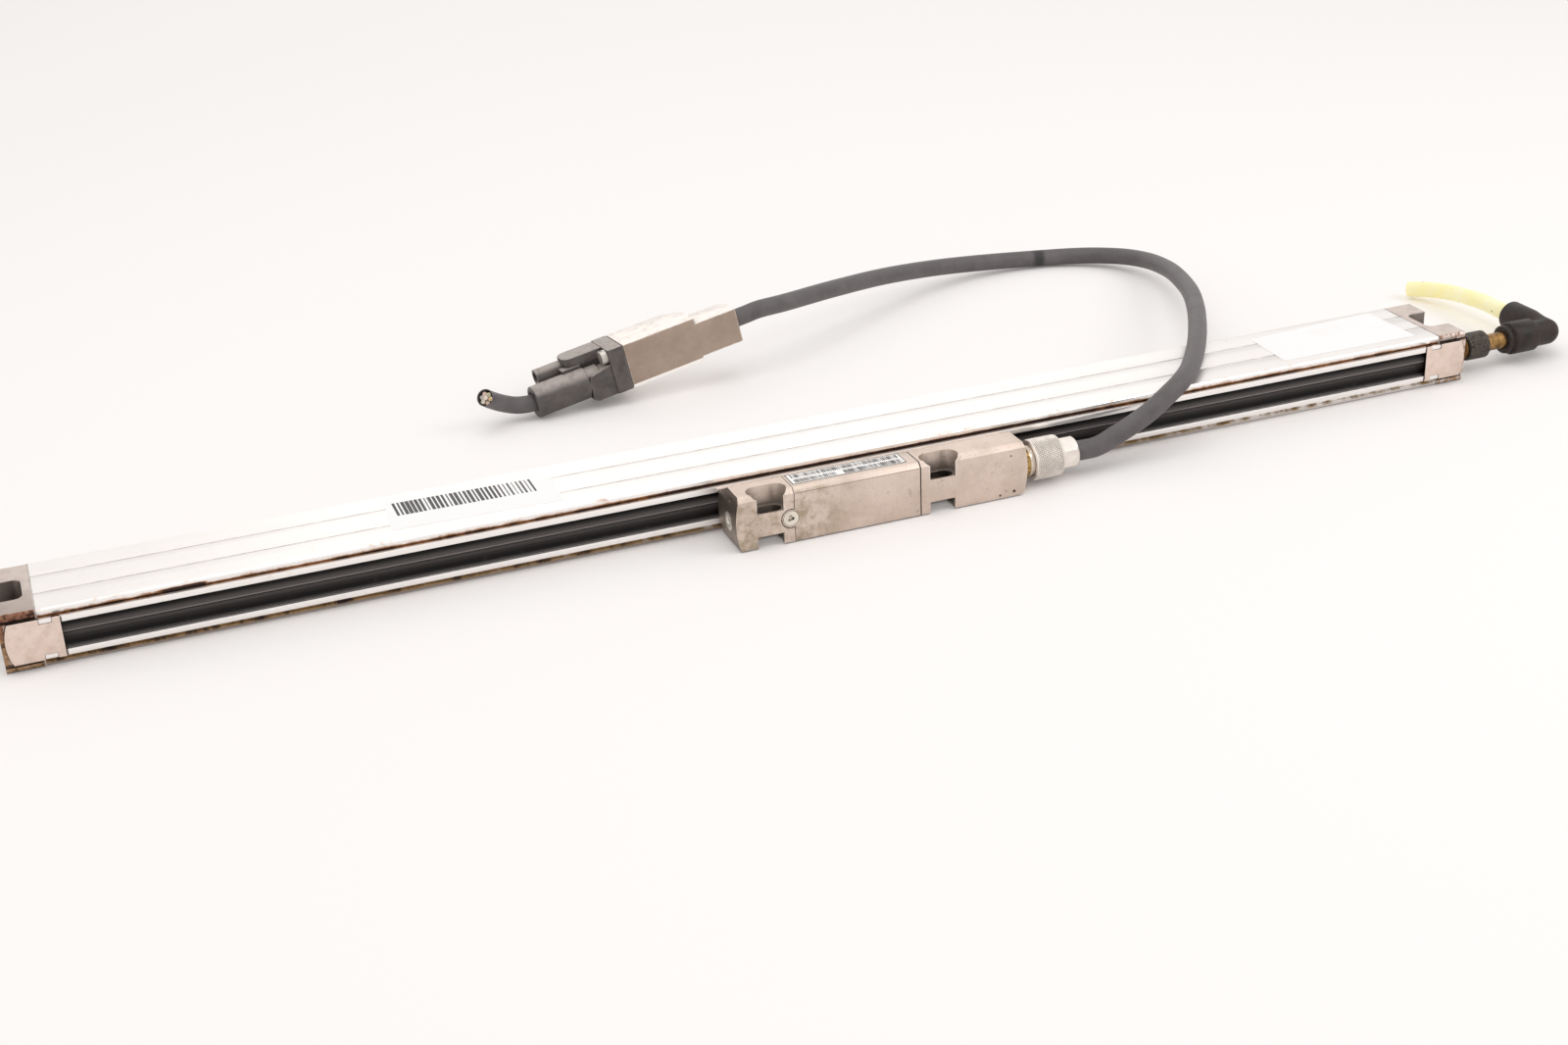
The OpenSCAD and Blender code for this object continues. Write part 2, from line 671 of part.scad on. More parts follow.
module socket_pins() {
    color("black") rod_x(head_x1 - 8, 6, socket_r - 0.82, port_y, port_z);
    color("gold") for (k = [0 : 7])
        rod_x(head_x1 - 2, 6, 0.5, port_y + 2.6 * cos(k * 45), port_z + 2.6 * sin(k * 45));
}

module coupling_nut() {
    shoulder = nut_l - 2.6;
    color("silver") difference() {
        translate([nut_x, port_y, port_z]) rotate([0, 90, 0]) rotate_extrude() polygon([
            [socket_r + nut_gap, 0], [nut_r - 0.2, 0], [nut_r, 0.2], [nut_r, nut_l - 0.3],
            [nut_r - 0.3, nut_l], [neck_r + nut_gap, nut_l], [neck_r + nut_gap, shoulder],
            [socket_r + nut_gap, shoulder]
        ]);
        knurl(nut_x + 0.6, nut_l - 1.4, nut_r, 36, port_y, port_z);
    }
}

// Plug half of the connector: a sleeve inside the socket, a neck in the nut and a hood with six flats
module lead_hood() {
    x0 = head_x1 + 4.4;
    step = nut_x + nut_l - 2.6;
    color("silver") translate([0, port_y, port_z]) rotate([0, 90, 0]) {
        rotate_extrude() polygon([
            [0, x0], [socket_r - 0.9, x0], [socket_r - 0.9, head_x1 + 9], [socket_r, head_x1 + 9],
            [socket_r, step - 0.1], [neck_r, step - 0.1], [neck_r, nut_x1 + 0.6], [0, nut_x1 + 0.6]
        ]);
        intersection() {
            translate([0, 0, nut_x1 + 0.1]) cylinder(r = hood_r, h = lead_x - nut_x1 - 0.1, $fn = 6);
            translate([0, 0, nut_x1 + 0.1])
                cylinder(r1 = hood_r + 3, r2 = hood_r - 0.7, h = lead_x - nut_x1 - 0.1);
        }
    }
}

// ---- Blade and scanning carriage ----

module blade() {
    half = blade_l / 2;
    point = 10;
    root_y = head_back - flange_d / 2;
    color("silver") {
        block([head_x - half, head_back - flange_d, slit_z - flange_h / 2],
              [head_x + half, head_back, slit_z + flange_h / 2]);
        translate([0, 0, slit_z - blade_t / 2]) linear_extrude(blade_t) polygon([
            [head_x - half, root_y], [head_x + half, root_y], [head_x + half - point, blade_in],
            [head_x - half + point, blade_in]
        ]);
    }
}

module coupling_spring() {
    color("lightsteelblue") block([car_x - 9, blade_in, slit_z - 2], [car_x + 9, car_front, slit_z + 2]);
}

// Fork that straddles the glass: the light side in front, the receiving side behind
module carriage_2d() {
    back_leg = rail_z + 0.5;
    back_y0 = glass_y + glass_t + 0.6;
    front_leg = glass_y - 0.9;
    polygon([
        [car_front, slit_z - 4.6], [front_leg, slit_z - 4.6], [front_leg, glass_top + 0.6],
        [back_y0, glass_top + 0.6], [back_y0, back_leg], [cavity_back - 0.5, back_leg],
        [cavity_back - 0.5, car_top], [car_front, car_top]
    ]);
}

module carriage_frame() {
    lamp_r = 2;
    color("slategray") difference() {
        along_x(car_x - carriage_l / 2, carriage_l) carriage_2d();
        for (x = face_xs) {
            translate([x, face_y, face_z - pin_run])
                cylinder(h = face_h + 2 * pin_run, r = face_roller_r + pin_run);
            translate([x, face_y, slit_z - 6]) cylinder(h = 9, r = roller_pin_r);
        }
        for (x = edge_xs) {
            rod_y(glass_y - pin_run, glass_t + 2 * pin_run, edge_roller_r + pin_run, x, edge_z);
            rod_y(glass_y - 3, glass_t + 5.6, roller_pin_r, x, edge_z);
        }
        rod_y(car_front + 3, glass_y - car_front, lamp_r, car_x, rail_z + 1);
        block([car_x - 6, glass_y - 1.6, rail_z - 1.2], [car_x + 6, glass_y, glass_top + 0.3]);
        block([car_x - 6.5, cavity_back - 2.2, rail_z], [car_x + 6.5, cavity_back, car_top - 1]);
        rod_y(glass_y + glass_t, cavity_back - glass_y, 1.4, car_x, rail_z + 2.2);
    }
}

module light_source() {
    color("white") rod_y(car_front + 3, 6, 1.95, car_x, rail_z + 1);
}
module condenser_lens() {
    color([0.85, 0.93, 0.95, 0.6]) rod_y(car_front + 9.2, 2, 1.95, car_x, rail_z + 1);
}
module scanning_reticle() {
    color([0.75, 0.88, 0.85, 0.5])
        block([car_x - 5.9, glass_y - 1.5, rail_z - 1.1], [car_x + 5.9, glass_y - 0.4, glass_top + 0.2]);
}
module photo_board() {
    color("seagreen")
        block([car_x - 6.4, cavity_back - 2.1, rail_z + 0.6],
              [car_x + 6.4, cavity_back - 0.9, car_top - 1.1]);
}

module roller_pins() {
    color("silver") {
        for (x = face_xs) translate([x, face_y, slit_z - 4.6]) cylinder(h = 6, r = roller_pin_r - 0.01);
        for (x = edge_xs) rod_y(glass_y - 2.8, glass_t + 5.2, roller_pin_r - 0.01, x, edge_z);
    }
}

// Ball-bearing roller drawn round Z, with its raceway grooves
module roller(r, h) {
    bore = roller_pin_r + roller_gap;
    rotate_extrude() polygon([
        [bore, 0], [bore + 0.5, 0], [bore + 0.6, 0.2], [r - 0.5, 0.2], [r - 0.3, 0], [r, 0.2], [r, h - 0.2],
        [r - 0.3, h], [r - 0.5, h - 0.2], [bore + 0.6, h - 0.2], [bore + 0.5, h], [bore, h]
    ]);
}
module face_roller(k) {
    color("lightsteelblue") translate([face_xs[k], face_y, face_z]) roller(face_roller_r, face_h);
}
module edge_roller(k) {
    color("lightsteelblue") translate([edge_xs[k], glass_y, edge_z]) rotate([-90, 0, 0])
        roller(edge_roller_r, glass_t);
}
module face_roller_left() { face_roller(0); }
module face_roller_right() { face_roller(1); }
module edge_roller_left() { edge_roller(0); }
module edge_roller_right() { edge_roller(1); }

// ---- Lead and plug ----

module data_lead() {
    way = concat([for (p = lead_way) lead_exit + p],
                 [for (u = [12, 6, 0]) plug_point([shell_l + u, entry_y, entry_z])]);
    color([0.2, 0.2, 0.21]) sweep(way, lead_d / 2, 12);
}

module at_plug() { translate(plug_at) rotate(plug_turn) children(); }

// Metal housing: a deep front half and a slimmer half where the lead enters
module plug_shell() {
    deep = 28.2;
    color("tan") at_plug() difference() {
        intersection() {
            linear_extrude(shell_h) polygon([
                [0, 0], [shell_l, 0], [shell_l, shell_d - 8], [shell_l - 3, shell_d - 5],
                [deep, shell_d - 5], [deep - 7, shell_d], [0, shell_d]
            ]);
            along_y(-1, shell_d + 2) polygon([
                [0, 0], [deep, 0], [deep, 1.7], [shell_l, 1.7], [shell_l, shell_h - 2.2],
                [deep, shell_h - 2.2], [deep, shell_h], [0, shell_h]
            ]);
        }
        for (p = jack_screws()) rod_x(-1, 6, 1.5, p[0], p[1]);
    }
}
function jack_screws() = [[3.4, shell_h - 2.8], [shell_d - 3.4, 2.8]];

// Moulded black body: a flange on the metal housing, a tapering front and a ridge on top
module plug_body() {
    flange = 6;
    ridge_z = boot_z + boot_r + 0.2;
    color([0.18, 0.18, 0.19]) at_plug() difference() {
        union() {
            translate([-flange, 0, 0]) cube([flange - 0.4, shell_d, shell_h]);
            along_y(0.6, shell_d - 1.2) polygon([
                [-flange, 0], [-flange, 11], [boot_x0 + 1, 9.5], [boot_x0, 8],
                [boot_x0, 0.6], [boot_x0 + 1.5, 0]
            ]);
            along_y(8, 8.4) polygon([
                [-flange, 5], [-flange, shell_h - 1], [-20, shell_h - 1], [-20, ridge_z],
                [boot_x0, ridge_z], [boot_x0, 5]
            ]);
            translate([0, 0, shell_h - 3.5]) linear_extrude(3.3) hull() {
                for (v = [10, 13.3]) translate([-17.5, v]) circle(r = 3);
                translate([-flange - 0.5, 7]) square([1.5, 9.3]);
            }
            translate([0, 0, ridge_z]) linear_extrude(0.9) translate([-22.4, 6.2]) square([7, 4]);
            rod_x(-30.5, 18, spare_boot_r, spare_boot_y, spare_boot_z);
        }
        for (p = jack_screws()) {
            rod_x(-flange - 1, flange + 2, 1.5, p[0], p[1]);
            rod_x(-9, 9 - 3.4, 2.75, p[0], p[1]);
        }
        rod_x(boot_x0 - 1, 6, boot_r - 0.6, boot_y, boot_z);
        rod_x(-32, 5, spare_boot_r - 1, spare_boot_y, spare_boot_z);
    }
}

// Round boot on the lower front of the body, with the cut lead in its mouth
module plug_boot() {
    color([0.14, 0.14, 0.15]) at_plug() translate([boot_x0, boot_y, boot_z]) rotate([0, -90, 0])
        rotate_extrude() polygon([
            [0, -4.9], [boot_r - 0.65, -4.9], [boot_r - 0.65, 0], [boot_r - 0.2, 0], [boot_r, 0.8],
            [boot_r, boot_l - 0.5], [boot_r - 0.5, boot_l], [boot_r - 1.5, boot_l],
            [3.15, boot_l - 1.6], [3.15, boot_l - 4.5], [0, boot_l - 4.5]
        ]);
}

module plug_screws() {
    color("silver") at_plug() for (p = jack_screws()) difference() {
        union() {
            rod_x(-8.4, 5, 2.6, p[0], p[1]);
            rod_x(-3.4, 8, 1.45, p[0], p[1]);
        }
        translate([-9, p[0] - 0.4, p[1] - 3]) cube([1.8, 0.8, 6]);
    }
}

module plug_gasket() {
    color("black") at_plug() difference() {
        translate([-0.4, 0.4, 0.4]) cube([0.4, shell_d - 0.8, shell_h - 0.8]);
        for (p = jack_screws()) rod_x(-2, 4, 1.5, p[0], p[1]);
    }
}

module lead_stub() { color([0.2, 0.2, 0.21]) at_plug() sweep(stub_way, 3.1, 10); }

scale_housing();
glass_scale();
scale_bond();
upper_lip();
lower_lip();
end_block_left();
end_block_right();
end_gaskets();
front_plate_left();
front_plate_right();
end_screws();
port_plug();
air_port();
union_nut();
air_tube();
elbow_body();
tube_collar();
hose_collar();
air_hose();
head_block();
head_cover();
cover_screw();
end_plug();
head_board();
sensor_plug();
socket_ring();
socket_pins();
coupling_nut();
lead_hood();
blade();
coupling_spring();
carriage_frame();
light_source();
condenser_lens();
scanning_reticle();
photo_board();
roller_pins();
face_roller_left();
face_roller_right();
edge_roller_left();
edge_roller_right();
data_lead();
plug_shell();
plug_body();
plug_boot();
plug_screws();
plug_gasket();
lead_stub();
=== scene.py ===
import functools
import math
import random

import bmesh
import bpy
from mathutils import Euler, Matrix, Vector


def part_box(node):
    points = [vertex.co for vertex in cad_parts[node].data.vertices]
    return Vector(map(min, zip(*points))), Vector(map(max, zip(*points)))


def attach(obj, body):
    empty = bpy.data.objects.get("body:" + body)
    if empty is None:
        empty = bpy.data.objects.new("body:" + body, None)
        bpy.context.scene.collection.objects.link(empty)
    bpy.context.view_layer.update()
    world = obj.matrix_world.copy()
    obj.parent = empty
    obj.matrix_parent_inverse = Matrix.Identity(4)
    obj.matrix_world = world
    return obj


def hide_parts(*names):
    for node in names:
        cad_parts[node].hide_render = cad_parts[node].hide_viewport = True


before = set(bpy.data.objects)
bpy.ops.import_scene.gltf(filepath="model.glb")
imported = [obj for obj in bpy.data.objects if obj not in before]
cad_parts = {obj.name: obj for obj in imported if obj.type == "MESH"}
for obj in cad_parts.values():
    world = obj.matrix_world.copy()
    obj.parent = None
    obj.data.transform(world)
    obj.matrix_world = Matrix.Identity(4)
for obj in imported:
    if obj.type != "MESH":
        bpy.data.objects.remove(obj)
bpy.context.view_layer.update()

MM = 0.001


# ---- Studio -------------------------------------------------------------------------------------
# A pale table in a white room, with broad soft lamps above. The camera stands in front of the left
# end, a little above the table, and looks along the scale with a 50 mm lens.
def link(obj):
    bpy.context.scene.collection.objects.link(obj)
    return obj


def tone(code):
    """A colour written as rrggbb, as the shader takes it."""
    parts = [int(code[k:k + 2], 16) / 255 for k in (0, 2, 4)]
    return (*[c / 12.92 if c < 0.04045 else ((c + 0.055) / 1.055) ** 2.4 for c in parts], 1)


def fill(tree, sockets, values):
    """Links or sets each of these inputs; a colour may be written as rrggbb."""
    for name, value in values.items():
        if isinstance(value, bpy.types.NodeSocket):
            tree.links.new(value, sockets[name])
        else:
            sockets[name].default_value = tone(value) if isinstance(value, str) else value


def add(kind, inputs=None, tree=None, **settings):
    """The outputs of a new node with these inputs and settings. It stands in the named tree, or else
    in the one its inputs come from."""
    inputs = inputs or {}
    tree = tree or next(value for value in inputs.values()
                        if isinstance(value, bpy.types.NodeSocket)).id_data
    node = tree.nodes.new(kind)
    for name, value in settings.items():
        setattr(node, name, value)
    fill(tree, node.inputs, inputs)
    return node.outputs


def maths(operation, a, *others):
    """The operation on these sockets and numbers, from left to right."""
    for b in others or (0.0,):
        a = add("ShaderNodeMath", {0: a, 1: b}, operation=operation)[0]
    return a


product, total, less, largest = (functools.partial(maths, operation) for operation in
                                 ("MULTIPLY", "ADD", "SUBTRACT", "MAXIMUM"))


def ramped(value, low, high, to_low=0.0, to_high=1.0):
    return add("ShaderNodeMapRange", {0: value, 1: low, 2: high, 3: to_low, 4: to_high},
               interpolation_type="SMOOTHSTEP")[0]


def new_look(name):
    """A new material, its Principled shader, joined to the output, and the object's coordinates."""
    material = bpy.data.materials.new(name)
    material.use_nodes = True
    tree = material.node_tree
    tree.nodes.clear()
    shader = tree.nodes.new("ShaderNodeBsdfPrincipled")
    add("ShaderNodeOutputMaterial", {"Surface": shader.outputs[0]})
    return material, shader, add("ShaderNodeTexCoord", tree=tree)["Object"]


def place(shader, **inputs):
    """Links or sets the shader's inputs, with _ for the spaces in their names."""
    fill(shader.id_data, shader.inputs,
         {name.replace("_", " "): value for name, value in inputs.items()})


def seen(tree):
    """1 for what the camera sees, straight or by a mirror or glass, and 0 for light that bounces."""
    rays = add("ShaderNodeLightPath", tree=tree)
    return largest(rays["Is Camera Ray"], rays["Is Glossy Ray"], rays["Is Transmission Ray"])


scene = bpy.context.scene
scene.view_settings.view_transform = "Standard"

CAMERA_AT = Vector((-0.22651, -0.602, 0.2928))
CAMERA_AZIMUTH, CAMERA_HEIGHT, CAMERA_ROLL = (math.radians(a) for a in (-20.24, 25.28, -2.57))
camera = link(bpy.data.objects.new("camera", bpy.data.cameras.new("camera")))
camera.data.lens, camera.data.sensor_width, camera.data.clip_start = 50, 36, 0.01
camera.matrix_world = (Matrix.Translation(CAMERA_AT) @ Matrix.Rotation(CAMERA_AZIMUTH, 4, "Z")
                       @ Matrix.Rotation(math.pi / 2 - CAMERA_HEIGHT, 4, "X")
                       @ Matrix.Rotation(CAMERA_ROLL, 4, "Z"))
scene.camera = camera

ROOM_TONE, ROOM_LIGHT = (1, 0.985, 0.97, 1), 0.74
world = bpy.data.worlds.new("white_room")
scene.world = world
world.use_nodes = True
world.node_tree.nodes.clear()
room = add("ShaderNodeBackground",
           {0: ROOM_TONE, 1: ramped(seen(world.node_tree), 0, 1, ROOM_LIGHT, 1.0)})
add("ShaderNodeOutputWorld", {0: room[0]})

for name, at, power, size in (("lamp_over", (-0.15, -0.1, 1.2), 3.3, 1.0),
                              ("lamp_right", (0.9, -0.5, 0.8), 2.4, 0.6),
                              ("lamp_back", (0.3, 1.1, 0.62), 0.9, 1.1)):
    lamp = link(bpy.data.objects.new(name, bpy.data.lights.new(name, "AREA")))
    lamp.data.energy, lamp.data.size = power, size
    lamp.location = at
    lamp.rotation_euler = (-Vector(at)).to_track_quat("-Z", "Y").to_euler()

TABLE_HALF, TABLE_Z, TABLE_GLOW = 4.0, -0.0001, 0.07
table_mesh = bpy.data.meshes.new("table")
table_mesh.from_pydata([(x * TABLE_HALF, y * TABLE_HALF, TABLE_Z)
                        for x, y in ((-1, -1), (1, -1), (1, 1), (-1, 1))], [], [(0, 1, 2, 3)])
table_top = link(bpy.data.objects.new("table", table_mesh))
table_paper, shader, spot = new_look("table_paper")
place(shader, Base_Color="f6f3f2", Roughness=0.9, Specular_IOR_Level=0.0,
      Emission_Color="fffdfa", Emission_Strength=product(seen(shader.id_data), TABLE_GLOW))
table_mesh.materials.append(table_paper)


# ---- Housing ------------------------------------------------------------------------------------
# The long housing is an extruded aluminium profile, blasted and clear anodised, with a slit along its
# front between two raised bands. Oil and rust have settled in its front grooves and along its edges.
MERGED, FLAT, SHARP = 0.002 * MM, math.radians(0.6), math.radians(32)


def smooth(piece, angle=38):
    """Soft shading across every edge that turns less than the angle."""
    piece.data.polygons.foreach_set("use_smooth", [True] * len(piece.data.polygons))
    piece.data.set_sharp_from_angle(angle=math.radians(angle))
    return piece


def applied(piece):
    """The piece with its modifier kept as a plain mesh."""
    bpy.context.view_layer.update()
    mesh = bpy.data.meshes.new_from_object(piece.evaluated_get(bpy.context.evaluated_depsgraph_get()))
    piece.modifiers.clear()
    piece.data = mesh
    return piece


def finish(piece, material, slot, body, *nodes):
    """Gives a piece its material and body, and hides the CAD nodes it stands for. The slot argument is
    not used.
    """
    piece.data.materials.clear()
    piece.data.materials.append(material)
    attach(piece, body)
    if nodes:
        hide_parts(*nodes)
    return piece


def dressed(node, name, edge, material, slot, body, rounding=2):
    """A CAD node's solid with its facets merged and its edges rounded by edge mm, in its place."""
    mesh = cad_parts[node].data.copy()
    work = bmesh.new()
    work.from_mesh(mesh)
    bmesh.ops.remove_doubles(work, verts=work.verts, dist=MERGED)
    bmesh.ops.dissolve_limit(work, angle_limit=FLAT, verts=work.verts, edges=work.edges)
    work.to_mesh(mesh)
    work.free()
    piece = link(bpy.data.objects.new(name, mesh))
    bevel = piece.modifiers.new("edges", "BEVEL")
    bevel.width, bevel.segments, bevel.miter_outer = edge * MM, rounding, "MITER_ARC"
    bevel.limit_method, bevel.angle_limit = "ANGLE", SHARP
    return finish(smooth(applied(piece)), material, slot, body, node)


def mixed(factor, a, b):
    """Colour a where the factor is 0 and b where it is 1."""
    return add("ShaderNodeMix", {0: factor, 6: a, 7: b}, data_type="RGBA")[2]


def noise(spot, scale, detail, roughness=0.5):
    return add("ShaderNodeTexNoise", {"Vector": spot, "Scale": scale, "Detail": detail,
                                      "Roughness": roughness})["Fac"]


def bumped(height, strength, distance):
    """A normal from this height, over a distance in mm."""
    return add("ShaderNodeBump", {"Strength": strength, "Distance": distance * MM,
                                  "Height": height})[0]


def coordinates(spot):
    """The three coordinates of a place, in mm."""
    in_mm = add("ShaderNodeVectorMath", {0: spot, "Scale": 1 / MM}, operation="SCALE")[0]
    return add("ShaderNodeSeparateXYZ", {0: in_mm})


SOCKETS = {int: "Int", float: "Float", str: "Color", Vector: "Vector"}


def new_group(kind, name, inputs, **outputs):
    """A shader or geometry node group: inputs are names with their values, outputs names with their
    types."""
    group = bpy.data.node_groups.new(name, kind + "NodeTree")
    for label, value in inputs.items():
        socket = group.interface.new_socket(label, in_out="INPUT",
                                            socket_type="NodeSocket" + SOCKETS[type(value)])
        socket.default_value = tone(value) if isinstance(value, str) else value
    for label, form in outputs.items():
        group.interface.new_socket(label, in_out="OUTPUT", socket_type="NodeSocket" + form)
    return group, add("NodeGroupInput", tree=group), group.nodes.new("NodeGroupOutput").inputs


def use(group, **inputs):
    return add("ShaderNodeGroup", inputs, node_tree=group)


# Patches of stain or tarnish: broken noise between two levels
PATCHES, given, gives = new_group("Shader", "patches", {
    "Vector": Vector(), "Scale": 300.0, "Low": 0.45, "High": 0.6, "Roughness": 0.6}, Mask="Float")
cloud = noise(given["Vector"], given["Scale"], 7.0, given["Roughness"])
fill(PATCHES, gives, {"Mask": ramped(cloud, given["Low"], given["High"])})


def patches(spot, scale, low=0.45, high=0.6, rough=0.6):
    return use(PATCHES, Vector=spot, Scale=scale, Low=low, High=high, Roughness=rough)["Mask"]


# A zone between two levels of one coordinate, with a soft edge
ZONE, given, gives = new_group("Shader", "zone", {
    "Value": 0.0, "Low": 0.0, "High": 1.0, "Soft": 0.3}, Mask="Float")
low_edge, high_edge = (ramped(given["Value"], less(given[end], given["Soft"]),
                              total(given[end], given["Soft"]), *levels)
                       for end, levels in (("Low", (0.0, 1.0)), ("High", (1.0, 0.0))))
fill(ZONE, gives, {"Mask": product(low_edge, high_edge)})


def zone(value, low, high, soft=0.3):
    return use(ZONE, Value=value, Low=low, High=high, Soft=soft)["Mask"]


# Rust and old oil: near black where it lies thick, then brown, then an amber film
RUST, given, gives = new_group("Shader", "rust", {
    "Vector": Vector(), "Clean": "e6e6e6", "Amount": 0.5, "Break": 0.9, "Scale": 600.0,
    "Film": "b98a4c", "Thick": "2a140a"}, Color="Color", Cover="Float", Height="Float")
coarse = noise(given["Vector"], given["Scale"], 8.0, 0.68)
depth = total(given["Amount"], product(less(coarse, 0.5), given["Break"]))
film, thick = ramped(depth, 0.08, 0.5), ramped(depth, 0.5, 0.85)
fill(RUST, gives, {"Color": mixed(thick, mixed(film, given["Clean"], given["Film"]), given["Thick"]),
                   "Cover": largest(product(film, 0.7), thick), "Height": thick})

# Fine drawing or grinding lines: noise stretched along X
LINES, given, gives = new_group("Shader", "fine_lines", {
    "Vector": Vector(), "Along": 20.0, "Across": 9000.0}, Mask="Float")
parts = add("ShaderNodeSeparateXYZ", {0: given["Vector"]})
stretched = add("ShaderNodeCombineXYZ", {k: product(parts[k], given[way])
                                         for k, way in enumerate(("Along", "Across", "Across"))})
fill(LINES, gives, {"Mask": noise(stretched[0], 1.0, 3.0)})


def drawn(spot, along, across):
    return use(LINES, Vector=spot, Along=along, Across=across)["Mask"]


HOUSING_TONE, HOUSING_SHADE, PAINTED_RIM_SHADE = "f8f4f1", "e6e0dc", "8b817c"
# Zones of the profile in mm: drawn lines on its top, depth and heights of its front
TOP_LINES = ((-5.7, -5.2), (6.3, 6.8))
FRONT_FACE, FRONT_BRINK = (-16.8, -15.1), (-16.8, -15.6)
LOWER_RIM, LOWER_GROOVE, UPPER_GROOVE = (0.4, 1.4), (1.0, 3.3), (15.4, 16.2)
BRIM, BESIDE_PLATE, PLATE_HEIGHT = (15.3, 16.5), (229.1, 229.7), (3.1, 15.4)
housing_metal, shader, spot = new_look("blasted_aluminium")
x, y, z = coordinates(spot)
along = add("ShaderNodeVectorMath", {0: spot, 1: Vector((1, 0, 0))}, operation="MULTIPLY")[0]
clean = mixed(product(patches(spot, 45.0, 0.35, 0.8), 0.25), HOUSING_TONE, HOUSING_SHADE)
clean = mixed(ramped(drawn(spot, 14.0, 2600.0), 0.5, 0.8, 0.0, 0.5), clean, HOUSING_SHADE)
# The drawn lines are greyed by dirt here and there. The rim under the lower groove gets painted shade,
# as it would reflect the shaded table, weaker to the right, and its foot a painted contact shadow
top_lines = largest(*[zone(y, *line, 0.1) for line in TOP_LINES])
clean = mixed(product(top_lines, patches(along, 160.0, 0.35, 0.6), 0.75), clean, "a39a94")
front, brink = zone(y, *FRONT_FACE, 0.2), zone(y, *FRONT_BRINK, 0.6)
rim_reflected_shade = product(front, zone(z, *LOWER_RIM, 0.1), ramped(x, 80, 200, 0.95, 0.35))
painted_contact_shadow = product(front, ramped(z, 0.2, 0.3, 0.7, 0.0))
clean = mixed(largest(rim_reflected_shade, painted_contact_shadow), clean, PAINTED_RIM_SHADE)
# Dirt lies in the upper groove, fading up the rim above it, and in the lower groove; beside the plates a
# dark line is painted shade in the gap
long_patches, short_patches = patches(along, 34.0, 0.38, 0.62), patches(along, 150.0, 0.4, 0.62)
left_part, right_part = ramped(x, -210, 20, 1.0, 0.0), ramped(x, 80, 200)
mid_part = product(ramped(x, -120, -30), ramped(x, 140, 90))
over_groove = ramped(z, 15.3, 15.5)
in_upper = product(zone(z, *UPPER_GROOVE, 0.1), total(
    product(long_patches, 0.28), product(short_patches, 0.12), 0.52))
on_rim = product(ramped(z, 16.0, 17.3, 1.0, 0.0), over_groove, total(
    product(long_patches, 0.22), product(short_patches, 0.12), 0.24))
in_lower = product(zone(z, *LOWER_GROOVE, 0.1), total(
    product(left_part, 0.16), product(short_patches, 0.3), product(right_part, -0.24), 0.36))
brim = product(zone(z, *BRIM, 0.1), mid_part, 0.84)
smear = product(ramped(z, 17.2, 16.4), over_groove, ramped(x, -206, -198),
                ramped(x, -187, -190, 0.0, 1.1))
on_brink = product(brink, ramped(z, 17.0, 17.6), long_patches, 0.2)
amount = largest(product(front, largest(in_upper, on_rim, in_lower, brim, smear)), on_brink)
olive = mixed(left_part, "957b55", "9c7b52")
film = mixed(ramped(z, 5, 10), olive, "a8703f")
# Painted shade in the gap beside each plate
painted_plate_gap_shade = product(ramped(y, -16.4, -16.6), zone(maths("ABSOLUTE", x), *BESIDE_PLATE, 0.08),
                    zone(z, *PLATE_HEIGHT, 0.1))
clean = mixed(product(painted_plate_gap_shade, 0.85), clean, "2b211c")
rust = use(RUST, Vector=spot, Clean=clean, Amount=amount, Scale=260.0, Film=film, Thick="2b1810")
height = total(product(noise(spot, 9000.0, 2.0), 0.25), product(rust["Height"], 2.0))
place(shader, Base_Color=rust["Color"], Metallic=ramped(rust["Cover"], 0, 1, 0.85, 0.0),
      Roughness=ramped(rust["Cover"], 0, 1, 0.34, 0.7), Normal=bumped(height, 0.35, 0.03))
dressed("scale_housing", "housing_profile", 0.12, housing_metal, "profile_aluminium", "housing")


# ---- Glass scale --------------------------------------------------------------------------------
# The measure itself: a strip of float glass with a chrome graduation, held by an elastic bond against
# the rail at the back of the housing. The graduation is drawn at a coarse pitch, one line a millimetre.
def paint(material, *nodes):
    """Gives CAD nodes that stay as they are a better material."""
    for node in nodes:
        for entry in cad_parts[node].material_slots:
            entry.material = material


glass, shader, spot = new_look("float_glass")
place(shader, Base_Color="dff0ea", Transmission_Weight=0.9, IOR=1.52,
      Roughness=ramped(patches(spot, 120.0, 0.45, 0.8), 0, 1, 0.03, 0.16))
paint(glass, "glass_scale", "condenser_lens", "scanning_reticle")

bond, shader, spot = new_look("elastic_bond")
beads = patches(spot, 900.0, 0.4, 0.7)
place(shader, Base_Color=mixed(beads, "e6e2d8", "cfc9ba"), Roughness=0.6,
      Normal=bumped(beads, 0.4, 0.1))
paint(bond, "scale_bond")


def ended(gives, instances):
    """Makes the instances real, gives them a material and joins them to the tree's output."""
    real = add("GeometryNodeRealizeInstances", {0: instances})[0]
    fill(real.id_data, gives, {0: add("GeometryNodeSetMaterial", {0: real})[0]})


def grown(name, tree, values, material, slot, body):
    """A piece made by a geometry node tree, from whole numbers and from lengths in mm."""
    piece = link(bpy.data.objects.new(name, bpy.data.meshes.new(name)))
    modifier = piece.modifiers.new("grow", "NODES")
    modifier.node_group = tree
    for item in tree.interface.items_tree:
        if item.in_out == "INPUT":
            value = values[item.name]
            modifier[item.identifier] = value if isinstance(value, int) else value * MM
    for node in tree.nodes:
        if node.bl_idname == "GeometryNodeSetMaterial":
            node.inputs["Material"].default_value = material
    return finish(applied(piece), material, slot, body)


